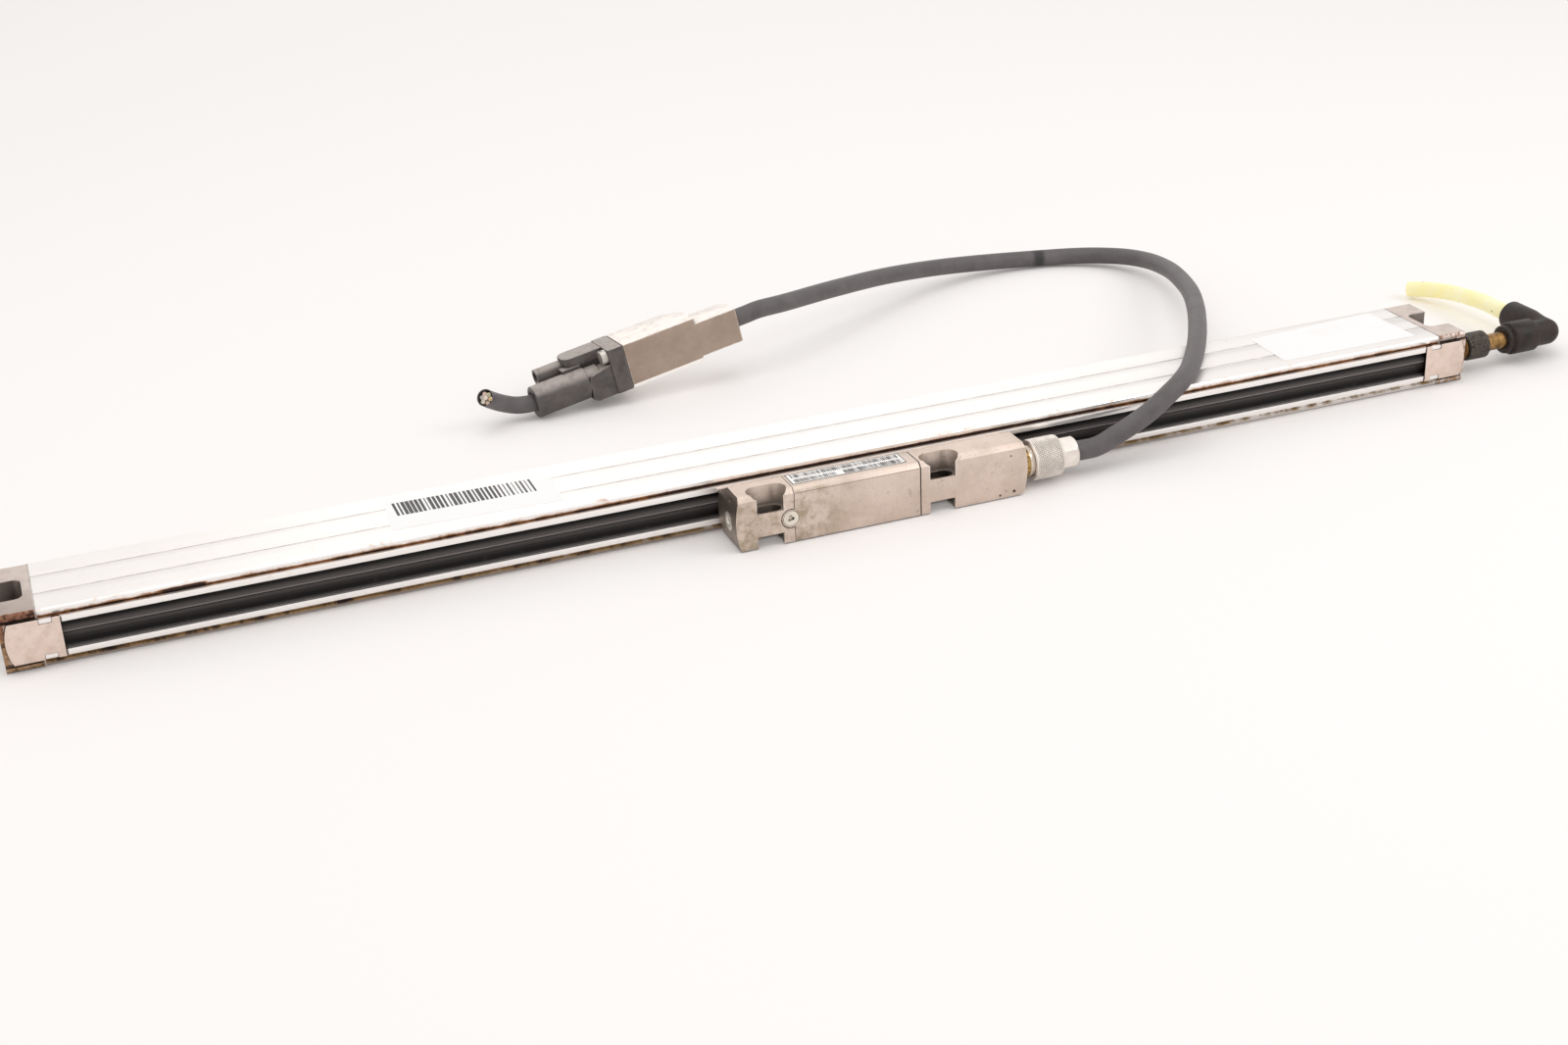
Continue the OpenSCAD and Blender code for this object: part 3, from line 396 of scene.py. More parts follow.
# A row of bars, their widths drawn from one fixed seed
BARS, given, gives = new_group("Geometry", "row_of_bars", {
    "Count": 40, "Start": Vector(), "Step": Vector((MM, 0, 0)), "Thin": 0.15 * MM, "Wide": 0.7 * MM,
    "Tall": 7 * MM, "Thick": 0.02 * MM, "Seed": 4}, Geometry="Geometry")
row = add("GeometryNodeMeshLine", {"Count": given["Count"], "Start Location": given["Start"],
                                   "Offset": given["Step"]})[0]
width = add("FunctionNodeRandomValue", {2: given["Thin"], 3: given["Wide"], "Seed": given["Seed"]},
            data_type="FLOAT")[1]
size = add("ShaderNodeCombineXYZ", {0: width, 1: given["Tall"], 2: given["Thick"]})[0]
bar = add("GeometryNodeMeshCube", {"Size": Vector((1, 1, 1))}, tree=BARS)[0]
ended(gives, add("GeometryNodeInstanceOnPoints", {"Points": row, "Instance": bar, "Scale": size})[0])

chrome, shader, spot = new_look("chrome_graduation")
place(shader, Metallic=1.0, Base_Color="9aa0a4",
      Roughness=ramped(patches(spot, 700.0), 0, 1, 0.12, 0.25))
LINE_COUNT, LINE_PITCH, LINE_Z, LINE_DEPTH = 452, 1.0, 7.5, 0.02
glass_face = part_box("glass_scale")[0].y / MM
grown("scale_graduation", BARS, {
    "Count": LINE_COUNT, "Step": Vector((LINE_PITCH, 0, 0)), "Thin": 0.4, "Wide": 0.4, "Seed": 0,
    "Start": Vector(((1 - LINE_COUNT) / 2 * LINE_PITCH, glass_face - LINE_DEPTH / 2, LINE_Z)),
    "Tall": LINE_DEPTH, "Thick": 3.2}, chrome, "scale_glass", "housing")


# ---- Sealing lips -------------------------------------------------------------------------------
# Two rubber lips close the slit. Each is an extruded strip with a root clamped in the slit and a leaf
# that leans inwards to the blade; fine ribs run along the leaf.
def banded(work, a, b):
    """Faces between two rings of as many corners."""
    return [work.faces.new((a[k], a[(k + 1) % len(a)], b[(k + 1) % len(a)], b[k]))
            for k in range(len(a))]


def prism(near, far):
    """A solid between two rings of corners, in mm."""
    work = bmesh.new()
    rings = [[work.verts.new(Vector(corner) * MM) for corner in ring] for ring in (near, far)]
    for ring in rings:
        work.faces.new(ring)
    banded(work, *rings)
    return work


def built(name, work, angle=None):
    """A new object with its faces outward, shaded softly up to the angle if there is one."""
    bmesh.ops.recalc_face_normals(work, faces=work.faces)
    mesh = bpy.data.meshes.new(name)
    work.to_mesh(mesh)
    work.free()
    piece = link(bpy.data.objects.new(name, mesh))
    return smooth(piece, angle) if angle else piece


# Profiles as (y, z) in mm: root, outer face of the leaf, tip, inner face. The upper leaf hangs a
# little over the lower one
LOWER_LIP = [(-16.75, 4.92), (-16.75, 5.3), (-16.55, 5.5), (-16.3, 5.5), (-16.15, 5.75), (-16.0, 6.3),
             (-15.85, 6.85), (-15.7, 7.25), (-15.72, 7.45), (-15.6, 7.55), (-15.45, 7.5), (-15.3, 7.85),
             (-15.15, 8.2), (-15.05, 8.5), (-14.9, 8.7), (-14.7, 8.72), (-14.6, 8.55), (-14.65, 8.0),
             (-15.1, 6.9), (-15.4, 5.9), (-15.5, 4.92)]
UPPER_LIP = [(-16.75, 13.68), (-16.75, 13.3), (-16.6, 13.1), (-16.4, 13.1), (-16.3, 12.6),
             (-16.25, 12.0), (-16.25, 11.4), (-16.35, 10.9), (-16.6, 10.4), (-16.85, 10.1),
             (-17.0, 9.95), (-16.9, 9.86), (-16.5, 9.86), (-16.0, 10.1), (-15.7, 10.8), (-15.5, 12.0),
             (-15.45, 12.8), (-15.5, 13.68)]
RIB_PITCH = 0.65
rubber, shader, spot = new_look("lip_rubber")
x, y, z = coordinates(spot)
# Fine cross ribs show on the lower leaf and at its root in painted reflections, the upper leaf has a
# painted highlight at its tip, and both leaves a painted sheen towards where they meet; a faint random
# mottle lies over all
ribs = ramped(maths("ABSOLUTE", maths("SINE", product(x, math.pi / RIB_PITCH))), 0.3, 0.85)
on_leaf, at_root, painted_tip_highlight = zone(z, 6.6, 8.7, 0.3), zone(z, 4.8, 5.5, 0.2), zone(z, 9.9, 10.2, 0.1)
upper_painted_sheen = product(ramped(z, 12.4, 10.0), ramped(z, 9.3, 9.5))
lower_painted_sheen = product(ramped(z, 6.6, 8.8), ramped(z, 9.3, 9.1))
light = largest(product(ribs, total(product(on_leaf, 0.05), product(at_root, 0.42))),
                product(painted_tip_highlight, 0.95), product(upper_painted_sheen, 0.42), product(lower_painted_sheen, 0.42),
                product(patches(spot, 260.0, 0.55, 0.8), 0.08))
place(shader, Base_Color=mixed(light, "0d0908", "8c8583"), Specular_IOR_Level=0.14,
      Roughness=ramped(drawn(spot, 30.0, 3000.0), 0.3, 0.7, 0.3, 0.5),
      Normal=bumped(ribs, 0.12, 0.04))
lip_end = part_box("lower_lip")[1].x / MM
for name, profile in (("lower_lip", LOWER_LIP), ("upper_lip", UPPER_LIP)):
    lip = prism(*[[(x, *point) for point in profile] for x in (-lip_end, lip_end)])
    finish(built(name + "_strip", lip, 30), rubber, "lip_rubber", "housing", name)


# ---- End blocks and front plates ----------------------------------------------------------------
# A nickel-plated block closes each end of the profile, with a counterbored slot for its mounting
# screw. A thin plate is let into the front of each block and held by two tabs of the profile.
WEAR, given, gives = new_group("Shader", "edge_wear", {
    "Vector": Vector(), "Radius": 0.4 * MM, "Scale": 900.0}, Mask="Float")
rounded = add("ShaderNodeBevel", {"Radius": given["Radius"]}, samples=4)[0]
true = add("ShaderNodeNewGeometry", tree=WEAR)["Normal"]
alike = add("ShaderNodeVectorMath", {0: rounded, 1: true}, operation="DOT_PRODUCT")["Value"]
broken = noise(given["Vector"], given["Scale"], 4.0)
fill(WEAR, gives, {"Mask": product(ramped(less(1.0, alike), 0.01, 0.12), ramped(broken, 0.35, 0.6))})


def worn(spot, radius, scale=900.0):
    """Rubbed edges, to a radius in mm."""
    return use(WEAR, Vector=spot, Radius=radius * MM, Scale=scale)["Mask"]


# Dirt and painted shade in corners and pockets, and painted shade in the seams between pieces, both from
# ambient occlusion
CREVICE_DIRT_AND_SHADE, given, gives = new_group("Shader", "crevice_dirt_and_shade", {
    "Vector": Vector(), "Reach": 4 * MM, "Amount": 1.0, "Seam": 0.6 * MM}, Mask="Float")
open_sky = add("ShaderNodeAmbientOcclusion", {"Distance": given["Reach"]}, samples=8,
               only_local=True)["AO"]
uneven = product(less(noise(given["Vector"], 500.0, 6.0), 0.5), 0.25)
closed = ramped(total(open_sky, uneven), 0.45, 0.97, 1.0, 0.0)
near = add("ShaderNodeAmbientOcclusion", {"Distance": given["Seam"]}, samples=8)["AO"]
fill(CREVICE_DIRT_AND_SHADE, gives, {"Mask": largest(product(closed, given["Amount"]),
                                      ramped(near, 0.5, 0.85, 1.0, 0.0))})


def dirt_and_shade_in_crevices(spot, reach, amount=1.0, seam=0.6):
    """Dirt and painted shade in pockets up to reach mm deep, and painted shade in seams up to seam mm
    wide.
    """
    return use(CREVICE_DIRT_AND_SHADE, Vector=spot, Reach=reach * MM, Amount=amount, Seam=seam * MM)["Mask"]


# Pale dust and painted top light on what faces up
DUST_AND_TOP_LIGHT, given, gives = new_group("Shader", "upward_dust_and_light", {
    "Vector": Vector(), "Scale": 300.0}, Mask="Float")
facing = add("ShaderNodeSeparateXYZ", {0: add("ShaderNodeNewGeometry", tree=DUST_AND_TOP_LIGHT)["Normal"]})
uneven = noise(given["Vector"], given["Scale"], 5.0)
fill(DUST_AND_TOP_LIGHT, gives, {"Mask": product(ramped(facing[2], 0.45, 0.9),
                                     ramped(uneven, 0.2, 0.55, 0.55, 1.0))})


def dust_and_top_light(spot, scale=300.0):
    return use(DUST_AND_TOP_LIGHT, Vector=spot, Scale=scale)["Mask"]


def nickel(name, light, dark, dirt="24170f", rough=0.42, pocket=1.0, reach=4.0, seam=0.6,
           brushed=(60.0, 5000.0), speckle=0.3, cloud=140.0, rubbed=(0.55, 0.4), top=None,
           rust_zone=None, marks_and_painted_light=None):
    """Satin nickel plate with tarnish, specks, rubbed edges, and dirt with painted shade in its
    pockets and seams. Reach and seam are in mm; rubbed is how much and how many mm; top is the colour
    of pale dust and painted top light on what faces up. By place, rust_zone gives the amount of rust
    and the last argument a list of (mask, colour) for grime, painted shade and painted highlights."""
    material, shader, spot = new_look(name)
    tarnish, lines = patches(spot, cloud, 0.35, 0.78), drawn(spot, *brushed)
    colour = mixed(tarnish, light, dark)
    colour = mixed(product(patches(spot, 1500.0, 0.56, 0.68, 0.8), speckle), colour, dirt)
    colour = mixed(ramped(lines, 0.4, 0.75, 0.0, 0.25), colour, dark)
    # Pale dust with painted top light on what faces up
    if top:
        colour = mixed(product(dust_and_top_light(spot), 0.85), colour, top)
    colour = mixed(product(worn(spot, rubbed[1]), rubbed[0]), colour, "f4ece4")
    # Dirt and painted shade in pockets and seams
    cover = dirt_and_shade = dirt_and_shade_in_crevices(spot, reach, pocket, seam)
    height = product(lines, 0.6)
    # Grime, painted shade and painted highlights, by place
    for mask, code in (marks_and_painted_light(spot) if marks_and_painted_light else ()):
        colour = mixed(mask, colour, code)
    if rust_zone:
        film = mixed(ramped(coordinates(spot)[2], 10, 13), "b08a66", "94634a")
        rust = use(RUST, Vector=spot, Clean=colour, Amount=rust_zone(spot), Scale=560.0, Break=2.2,
                   Film=film, Thick="24120c")
        colour, cover = rust["Color"], largest(cover, rust["Cover"])
        height = total(height, product(rust["Height"], 4.0))
    place(shader, Base_Color=mixed(dirt_and_shade, colour, dirt), Metallic=ramped(cover, 0, 1, 0.8, 0.1),
          Roughness=ramped(total(cover, product(tarnish, 0.3)), 0, 1, rough, 0.8),
          Normal=bumped(height, 0.3, 0.04))
    return material


def block_rust(spot):
    """Rust on the strips above and below the plate and on the outer rim of a block's front."""
    x, y, z = coordinates(spot)
    front = ramped(y, -16.2, -14.2, 1.0, 0.0)
    above, below = ramped(z, 14.6, 15.8), ramped(z, 2.4, 3.6, 1.0, 0.0)
    outer = ramped(maths("ABSOLUTE", x), 244.4, 245.2)
    by_end = ramped(x, -100, 100, 0.56, 0.26)
    return less(product(front, largest(above, below, outer), total(by_end, 0.45)), 0.45)


def plate_edge_shade(spot):
    """Painted shade on the plate's thin edges, in the gap round it."""
    return [(ramped(coordinates(spot)[1], -18.12, -17.98), "1d1411")]


def block_darkening_and_slot_shade(spot):
    """The left block is darker, most of all towards its front, and both slots get painted shade inside.
    """
    x, y, z = coordinates(spot)
    dull = product(ramped(x, -100, 100, 1.0, 0.0), ramped(y, 4, -12, 0.25, 0.75))
    # Painted shade deep inside both slots, stronger on the left
    slot = product(ramped(maths("ABSOLUTE", y), 6.8, 7.0, 1.0, 0.0),
                   ramped(maths("ABSOLUTE", x), 238, 238.3), ramped(z, 17.6, 17.9, 1.0, 0.0))
    block_slot_shade = product(slot, ramped(z, 17, 8, 0.8, 1.0), ramped(x, -100, 100, 0.95, 0.55))
    return [(dull, "a2938a"), (block_slot_shade, "2c2018")]


block_metal = nickel("block_nickel", "dccec6", "c2b4ab", reach=11.0, brushed=(5000.0, 90.0),
                     cloud=260.0, rust_zone=block_rust, marks_and_painted_light=block_darkening_and_slot_shade)
plate_metal = nickel("plate_nickel", "e9d6ca", "d8c3b6", pocket=0.2, brushed=(900.0, 900.0),
                     speckle=0.2, cloud=320.0, marks_and_painted_light=plate_edge_shade)
for side in ("left", "right"):
    dressed("end_block_" + side, f"end_block_{side}_body", 0.15, block_metal, "block_nickel",
            "housing", 3)
    dressed("front_plate_" + side, f"front_plate_{side}_sheet", 0.1, plate_metal, "block_nickel",
            "housing")


def two_toned(name, ground, patch, roughness, *sizes):
    """A plain material in two tones."""
    material, shader, spot = new_look(name)
    place(shader, Base_Color=mixed(patches(spot, *sizes), ground, patch), Roughness=roughness)
    return material


paint(two_toned("gasket_rubber", "7d756e", "9a928b", 0.75, 400.0, 0.4, 0.8), "end_gaskets",
      "plug_gasket")

# The gasket swells a little out of the joint between block and profile. A bead is a frame round the
# joint, given by the half width, foot and head of its outside and of its inside, in mm
JOINT, BEAD = (235.51, 235.99), ((16.36, 0.12, 17.88), (14.2, 2.2, 15.8))
sealant, shader, spot = new_look("joint_sealant")
oily = product(patches(spot, 260.0, 0.42, 0.66), ramped(coordinates(spot)[0], -100, 100, 0.5, 1.0))
place(shader, Base_Color=mixed(oily, "cfc6bf", "84786e"), Roughness=0.7)
for side, way in (("left", -1), ("right", 1)):
    work = bmesh.new()
    rings = [[work.verts.new(Vector((way * x, y, z)) * MM)
              for y, z in ((-half, foot), (half, foot), (half, head), (-half, head))]
             for half, foot, head in BEAD for x in JOINT]
    for a, b in ((0, 1), (1, 3), (3, 2), (2, 0)):
        banded(work, rings[a], rings[b])
    finish(built("joint_bead_" + side, work), sealant, "gasket_rubber", "housing")

screw_steel = nickel("screw_steel", "cfcac2", "a39d94", reach=1.2, brushed=(2500.0, 2500.0),
                     speckle=0.2)
for node in ("end_screws", "port_plug"):
    dressed(node, node + "_set", 0.15, screw_steel, "screw_steel", "housing")


# ---- Air fitting --------------------------------------------------------------------------------
# Compressed air enters the right block through a threaded brass port. A black knurled nut clamps the
# brass tube, and a black plastic push-in elbow carries the hose; a collar in each mouth grips it.
def circle(sides):
    """The cosine and sine of each step round a circle."""
    return [(math.cos(k * math.tau / sides), math.sin(k * math.tau / sides)) for k in range(sides)]


TURNED_SIDES = 64


def turned(name, profile, axis):
    """A closed profile of (along, radius) points in mm, turned about a line along X at (y, z)."""
    work = bmesh.new()
    rings = [[work.verts.new(Vector((along, axis[0] + radius * c, axis[1] + radius * s)) * MM)
              for c, s in circle(TURNED_SIDES)] for along, radius in profile]
    for a, b in zip(rings, rings[1:] + rings[:1]):
        banded(work, a, b)
    return built(name, work, 40)


def round_box(node):
    """The axis (y, z), the two ends and the radius of a round CAD node along X, in mm."""
    low, high = (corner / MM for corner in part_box(node))
    return ((low.y + high.y) / 2, (low.z + high.z) / 2), low.x, high.x, (high.z - low.z) / 2


# Small pyramids in staggered rows round an axis along X, for a diamond knurl
KNURL, given, gives = new_group("Geometry", "diamond_knurl", {
    "Rows": 9, "Around": 28, "Radius": 5 * MM, "Length": 8 * MM, "Size": 0.6 * MM,
    "Height": 0.2 * MM, "Origin": Vector()}, Geometry="Geometry")
studs = add("GeometryNodeMeshLine", {"Count": product(given["Rows"], given["Around"]),
                                     "Offset": Vector()})[0]
index = add("GeometryNodeInputIndex", tree=KNURL)[0]
row = maths("FLOOR", maths("DIVIDE", index, given["Around"]))
stagger = product(maths("MODULO", row, 2.0), 0.5)
step = total(maths("MODULO", index, given["Around"]), stagger)
angle = product(maths("DIVIDE", step, given["Around"]), math.tau)
along = product(maths("DIVIDE", row, less(given["Rows"], 1.0)), given["Length"])
point = add("ShaderNodeCombineXYZ", {0: along, 1: product(given["Radius"], maths("SINE", angle)),
                                     2: product(given["Radius"], maths("COSINE", angle))})[0]
point = add("ShaderNodeVectorMath", {0: point, 1: given["Origin"]}, operation="ADD")[0]
placed = add("GeometryNodeSetPosition", {"Geometry": studs, "Position": point})[0]
pyramid = add("GeometryNodeMeshCone", {"Vertices": 4, "Radius Top": 0.1 * MM, "Depth": given["Height"],
                                       "Radius Bottom": given["Size"]})[0]
lean = add("ShaderNodeCombineXYZ", {0: product(angle, -1.0)})[0]
ended(gives, add("GeometryNodeInstanceOnPoints", {"Points": placed, "Instance": pyramid,
                                                  "Rotation": lean})[0])
# How deep a knurl sits in its nut's surface and how far from the nut's end it starts, in mm
KNURL_SINK, KNURL_FROM = 0.13, 0.75

AIR_AXIS, start, end, radius = round_box("union_nut")
black_metal, shader, spot = new_look("blackened_steel")
dust = patches(spot, 800.0, 0.45, 0.75)
colour = mixed(product(dust, 0.5), "2c2826", "5c5249")
colour = mixed(product(worn(spot, 0.2, 1500.0), 0.6), colour, "a79c8c")
place(shader, Base_Color=colour, Metallic=0.55, Roughness=ramped(dust, 0, 1, 0.42, 0.65))
finish(turned("union_nut_body", [
    (start, 3.2), (start, radius - 0.7), (start + 0.5, radius - 0.2), (end - 0.9, radius - 0.2),
    (end - 0.6, radius - 0.35), (end, radius - 1.0), (end, 3.2)], AIR_AXIS),
       black_metal, "black_metal", "union_nut", "union_nut")
grown("union_nut_knurl", KNURL, {
    "Rows": 13, "Around": 34, "Radius": radius - KNURL_SINK, "Length": end - start - 1.7,
    "Size": 0.56, "Height": 0.24, "Origin": Vector((start + KNURL_FROM, *AIR_AXIS))},
      black_metal, "black_metal", "union_nut")

brass, shader, spot = new_look("dull_brass")
colour = mixed(patches(spot, 350.0, 0.38, 0.7), "ab8553", "654a29")
# Dirt and painted shade darken the brass in its crevices
place(shader, Base_Color=mixed(dirt_and_shade_in_crevices(spot, 1.2, 0.9), colour, "2c1d10"), Metallic=0.9,
      Roughness=ramped(drawn(spot, 4000.0, 60.0), 0.3, 0.7, 0.28, 0.42))
THREADS = [(248.1 + k * 0.35, 4.08 if k % 2 else 3.72) for k in range(8)]
_, start, end, _ = round_box("air_port")
finish(turned("air_port_threads", [
    (start, 3.02), (start, 4.05), (246.45, 4.05), (246.5, 4.45), (247.7, 4.45), (247.9, 4.05),
    *THREADS, (250.8, 3.6), (end, 3.6), (end, 3.02)], AIR_AXIS), brass, "brass", "housing", "air_port")
_, start, end, _ = round_box("air_tube")
finish(turned("air_tube_pipe", [
    (start, 2.0), (start, 2.99), (264.6, 2.99), (264.9, 2.86), (265.3, 2.99), (end - 0.3, 2.99),
    (end, 2.7), (end, 2.0)], AIR_AXIS), brass, "brass", "housing", "air_tube")

black_plastic, shader, spot = new_look("moulded_black")
dust = patches(spot, 170.0, 0.3, 0.75)
bare = largest(patches(spot, 1700.0, 0.6, 0.72), worn(spot, 0.5))
colour = mixed(product(bare, 0.35), mixed(dust, "1a1210", "3a2d28"), "8b8583")
place(shader, Base_Color=colour, Roughness=ramped(dust, 0, 1, 0.42, 0.6), Specular_IOR_Level=0.3,
      Normal=bumped(noise(spot, 7000.0, 2.0), 0.2, 0.03))
dressed("elbow_body", "elbow_housing", 0.2, black_plastic, "black_plastic", "elbow")
dressed("tube_collar", "tube_collar_sleeve", 0.12, black_plastic, "black_plastic", "tube_collar")
dressed("hose_collar", "hose_collar_sleeve", 0.12, brass, "brass", "hose_collar")


# ---- Air hose -----------------------------------------------------------------------------------
# A short end of yellowed plastic hose, 6 mm across, cut off square with a knife. It leaves the elbow's
# branch straight, then sinks to the table in one easy bend.
def eased(points, steps=6):
    """A smooth line through the points."""
    out = []
    for k in range(len(points) - 1):
        p0, p1, p2 = points[max(k - 1, 0)], points[k], points[k + 1]
        p3 = points[min(k + 2, len(points) - 1)]
        for t in (s / steps for s in range(steps)):
            out.append(0.5 * (2 * p1 + (p2 - p0) * t + (2 * p0 - 5 * p1 + 4 * p2 - p3) * t * t
                              + (3 * p1 - p0 - 3 * p2 + p3) * t ** 3))
    return out + [points[-1]]


def run_length(path):
    return sum((b - a).length for a, b in zip(path, path[1:]))


def hose_mesh(name, path, radius, sides=32, bore=0.0):
    """A tube along the path, with a UV map that gives the turn and the distance run, in metres. Its
    ends are closed, or open with a bore of this share of the radius."""
    work = bmesh.new()
    uv = work.loops.layers.uv.new("route")
    side = Vector((0, 0, 1))
    rings = []
    for i, p in enumerate(path):
        ahead = (path[min(i + 1, len(path) - 1)] - path[max(i - 1, 0)]).normalized()
        side = (side - ahead * side.dot(ahead)).normalized()
        other = ahead.cross(side)
        rings.append([work.verts.new(p + radius * (c * side + s * other)) for c, s in circle(sides)])
    for i, (a, b) in enumerate(zip(rings, rings[1:])):
        before, after = run_length(path[:i + 1]), run_length(path[:i + 2])
        for k, face in enumerate(banded(work, a, b)):
            corners = ((k, before), (k + 1, before), (k + 1, after), (k, after))
            for loop, (u, v) in zip(face.loops, corners):
                loop[uv].uv = (u / sides, v)
    for ring, way in ((rings[0], path[1] - path[0]), (rings[-1], path[-2] - path[-1])):
        if bore:
            centre = sum((v.co for v in ring), Vector()) / sides
            lip = [work.verts.new(centre + (v.co - centre) * bore) for v in ring]
            inner = [work.verts.new(v.co + way.normalized() * radius * 2) for v in lip]
            banded(work, ring, lip)
            banded(work, lip, inner)
            ring = inner
        work.faces.new(ring)
    return built(name, work, 50)


HOSE_EXIT, HOSE_RADIUS = Vector((286.9, 9.5, 9.0)) * MM, 3 * MM
HOSE_WAY = [(0, 0, 0), (0, 5, 0), (0.7, 14.5, -0.3), (0.8, 21.5, -0.8), (0.7, 28.5, -1.5),
            (0.3, 35.5, -2.4), (-1.4, 45.5, -4.1), (-5.5, 53.1, -5.5)]
hose_path = eased([HOSE_EXIT + Vector(p) * MM for p in HOSE_WAY])
hose_plastic, shader, spot = new_look("yellowed_hose")
colour = mixed(patches(spot, 90.0, 0.3, 0.75), "fffcd6", "fff2b2")
# A faint painted glow in pale yellow brightens the hose
place(shader, Base_Color=mixed(patches(spot, 420.0, 0.71, 0.74, 0.4), colour, "6a5a2c"),
      Roughness=0.28, Transmission_Weight=0.1, IOR=1.3, Subsurface_Weight=0.2,
      Subsurface_Scale=3 * MM, Subsurface_Radius=Vector((1.0, 0.95, 0.7)),
      Emission_Color="fff4b8", Emission_Strength=0.1)
hose = hose_mesh("air_hose_tube", hose_path, HOSE_RADIUS * 0.995, bore=0.66)
finish(hose, hose_plastic, "hose_plastic", "elbow", "air_hose")


# ---- Scanning head ------------------------------------------------------------------------------
# The head slides along the slit. Its block is satin nickel with round ends, two counterbored mounting
# slots open to the front, and a cover held by one screw; a plug closes the unused port at the left.
def round_spot(plane, centre, radius, soft=0.1):
    """A mask round a point in the plane of these two coordinates, in mm."""
    away = [maths("POWER", less(part, at), 2.0) for part, at in zip(plane, centre)]
    return ramped(maths("SQRT", total(*away)), radius - soft, radius + soft, 1.0, 0.0)


# Where the cover ends, its screw and the lobe round it, and pits as (place, radius, softness), in mm
COVER_ENDS, COVER_SCREW, LOBE = (-13.8, 28.7), (-15.0, 8.2), 3.2
PITS = (((60.1, 14.4), 0.3, 0.1), ((61.3, 2.0), 0.5, 0.2), ((56.3, 1.4), 0.4, 0.2))


def head_marks_and_shade(spot):
    """Painted shade along the joints round the cover, on the left end and in the slots, a green patina
    and a few pits.
    """
    x, y, z = coordinates(spot)
    front = ramped(y, -34.6, -34.2, 1.0, 0.0)
    patina = product(patches(spot, 190.0, 0.42, 0.64, 0.75), front, ramped(x, 12, -12))
    # Painted shade along the joints round the cover: round its screw lobe, along its top front edge and
    # at its ends
    lobe = less(round_spot((x, z), COVER_SCREW, LOBE + 0.1), round_spot((x, z), COVER_SCREW, LOBE - 0.2))
    lobe = product(lobe, ramped(x, COVER_ENDS[0] - 0.1, COVER_ENDS[0], 1.0, 0.0))
    arris = product(zone(z, 16.3, 16.5, 0.1), zone(x, *COVER_ENDS, 0.1))
    left, right = (zone(x, at - half, at + half, 0.06) for at, half in zip(COVER_ENDS, (0.12, 0.2)))
    left = product(left, less(1.0, round_spot((x, z), COVER_SCREW, LOBE)))
    seam = largest(product(front, largest(lobe, product(arris, 0.55))), right, left)
    pits = product(front, largest(*[round_spot((x, z), *pit) for pit in PITS]))
    # Painted shade inside both slots
    painted_slot_shade = product(zone(y, -34.3, -29.1), zone(z, 0.6, 11.3),
                    largest(zone(x, -27.5, -15.9), zone(x, 30.5, 42.1)))
    # Painted shade on the faces of the left end that look left
    normal = add("ShaderNodeNewGeometry", tree=spot.id_data)["Normal"]
    leftward = ramped(add("ShaderNodeSeparateXYZ", {0: normal})[0], -0.3, -0.8)
    painted_left_end_shade = product(ramped(x, -26, -28), leftward, ramped(z, 4, 14, 0.6, 0.95))
    return [(product(patina, 0.62), "8f8062"),
            (product(patches(spot, 420.0, 0.66, 0.72, 0.4), 0.22), "6b5a48"), (painted_left_end_shade, "5f544b"),
            (product(painted_slot_shade, 0.85), "2a211b"), (pits, "4a2d1c"), (seam, "1d1613")]


head_metal = nickel("head_nickel", "dccbbf", "c6b4a6", dirt="2b1e16", rough=0.44, pocket=0.75, reach=7.0,
                    brushed=(3000.0, 400.0), speckle=0.5, cloud=90.0, marks_and_painted_light=head_marks_and_shade)
dressed("head_block", "head_body", 0.22, head_metal, "head_nickel", "head", 3)
dressed("head_cover", "head_cover_shell", 0.15, head_metal, "head_nickel", "head")

torx_steel = nickel("torx_steel", "efe8dc", "d8cfc0", reach=0.8, brushed=(2500.0, 2500.0),
                    speckle=0.15)
dressed("cover_screw", "cover_screw_torx", 0.12, torx_steel, "screw_steel", "head")
plug_brass = nickel("pale_plug", "eeeae0", "d6d0c4", reach=0.9, brushed=(2500.0, 2500.0))
dressed("end_plug", "end_plug_cap", 0.3, plug_brass, "plug_brass", "head", 3)


# Label of etched foil on the head's top, white with a black rim; it carries bars and no words
def sheet_label(name, corners, z, thick, round_by=0.0):
    """A flat label with its corners, in mm, standing thick mm above the height z."""
    work = prism(*[[(*corner, height) for corner in corners] for height in (z, z + thick)])
    if round_by:
        posts = [e for e in work.edges
                 if abs(e.verts[0].co.z - e.verts[1].co.z) > 0.5 * thick * MM]
        bmesh.ops.bevel(work, geom=posts, offset=round_by * MM, segments=4, affect="EDGES",
                        profile=0.5)
    return built(name, work)


LABEL_X, LABEL_Y, LABEL_RIM = (-12.9, 25.4), (-31.9, -24.6), 0.3
HEAD_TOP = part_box("head_cover")[1].z / MM
foil, shader, spot = new_look("label_foil")
inside = product(*[zone(part, low + LABEL_RIM, high - LABEL_RIM, 0.08)
                   for part, (low, high) in zip(coordinates(spot), (LABEL_X, LABEL_Y))])
white = mixed(patches(spot, 900.0, 0.4, 0.7), "fdfbf9", "eeeae6")
place(shader, Base_Color=mixed(inside, "3a3633", white), Roughness=0.4)
finish(sheet_label("head_label", [(LABEL_X[a], LABEL_Y[b]) for a, b in ((0, 1), (1, 1), (1, 0), (0, 0))],
                   HEAD_TOP, 0.06), foil, "head_nickel", "head")

ink = two_toned("printer_ink", "3d393a", "605b5c", 0.5, 3000.0, 0.5, 0.9)


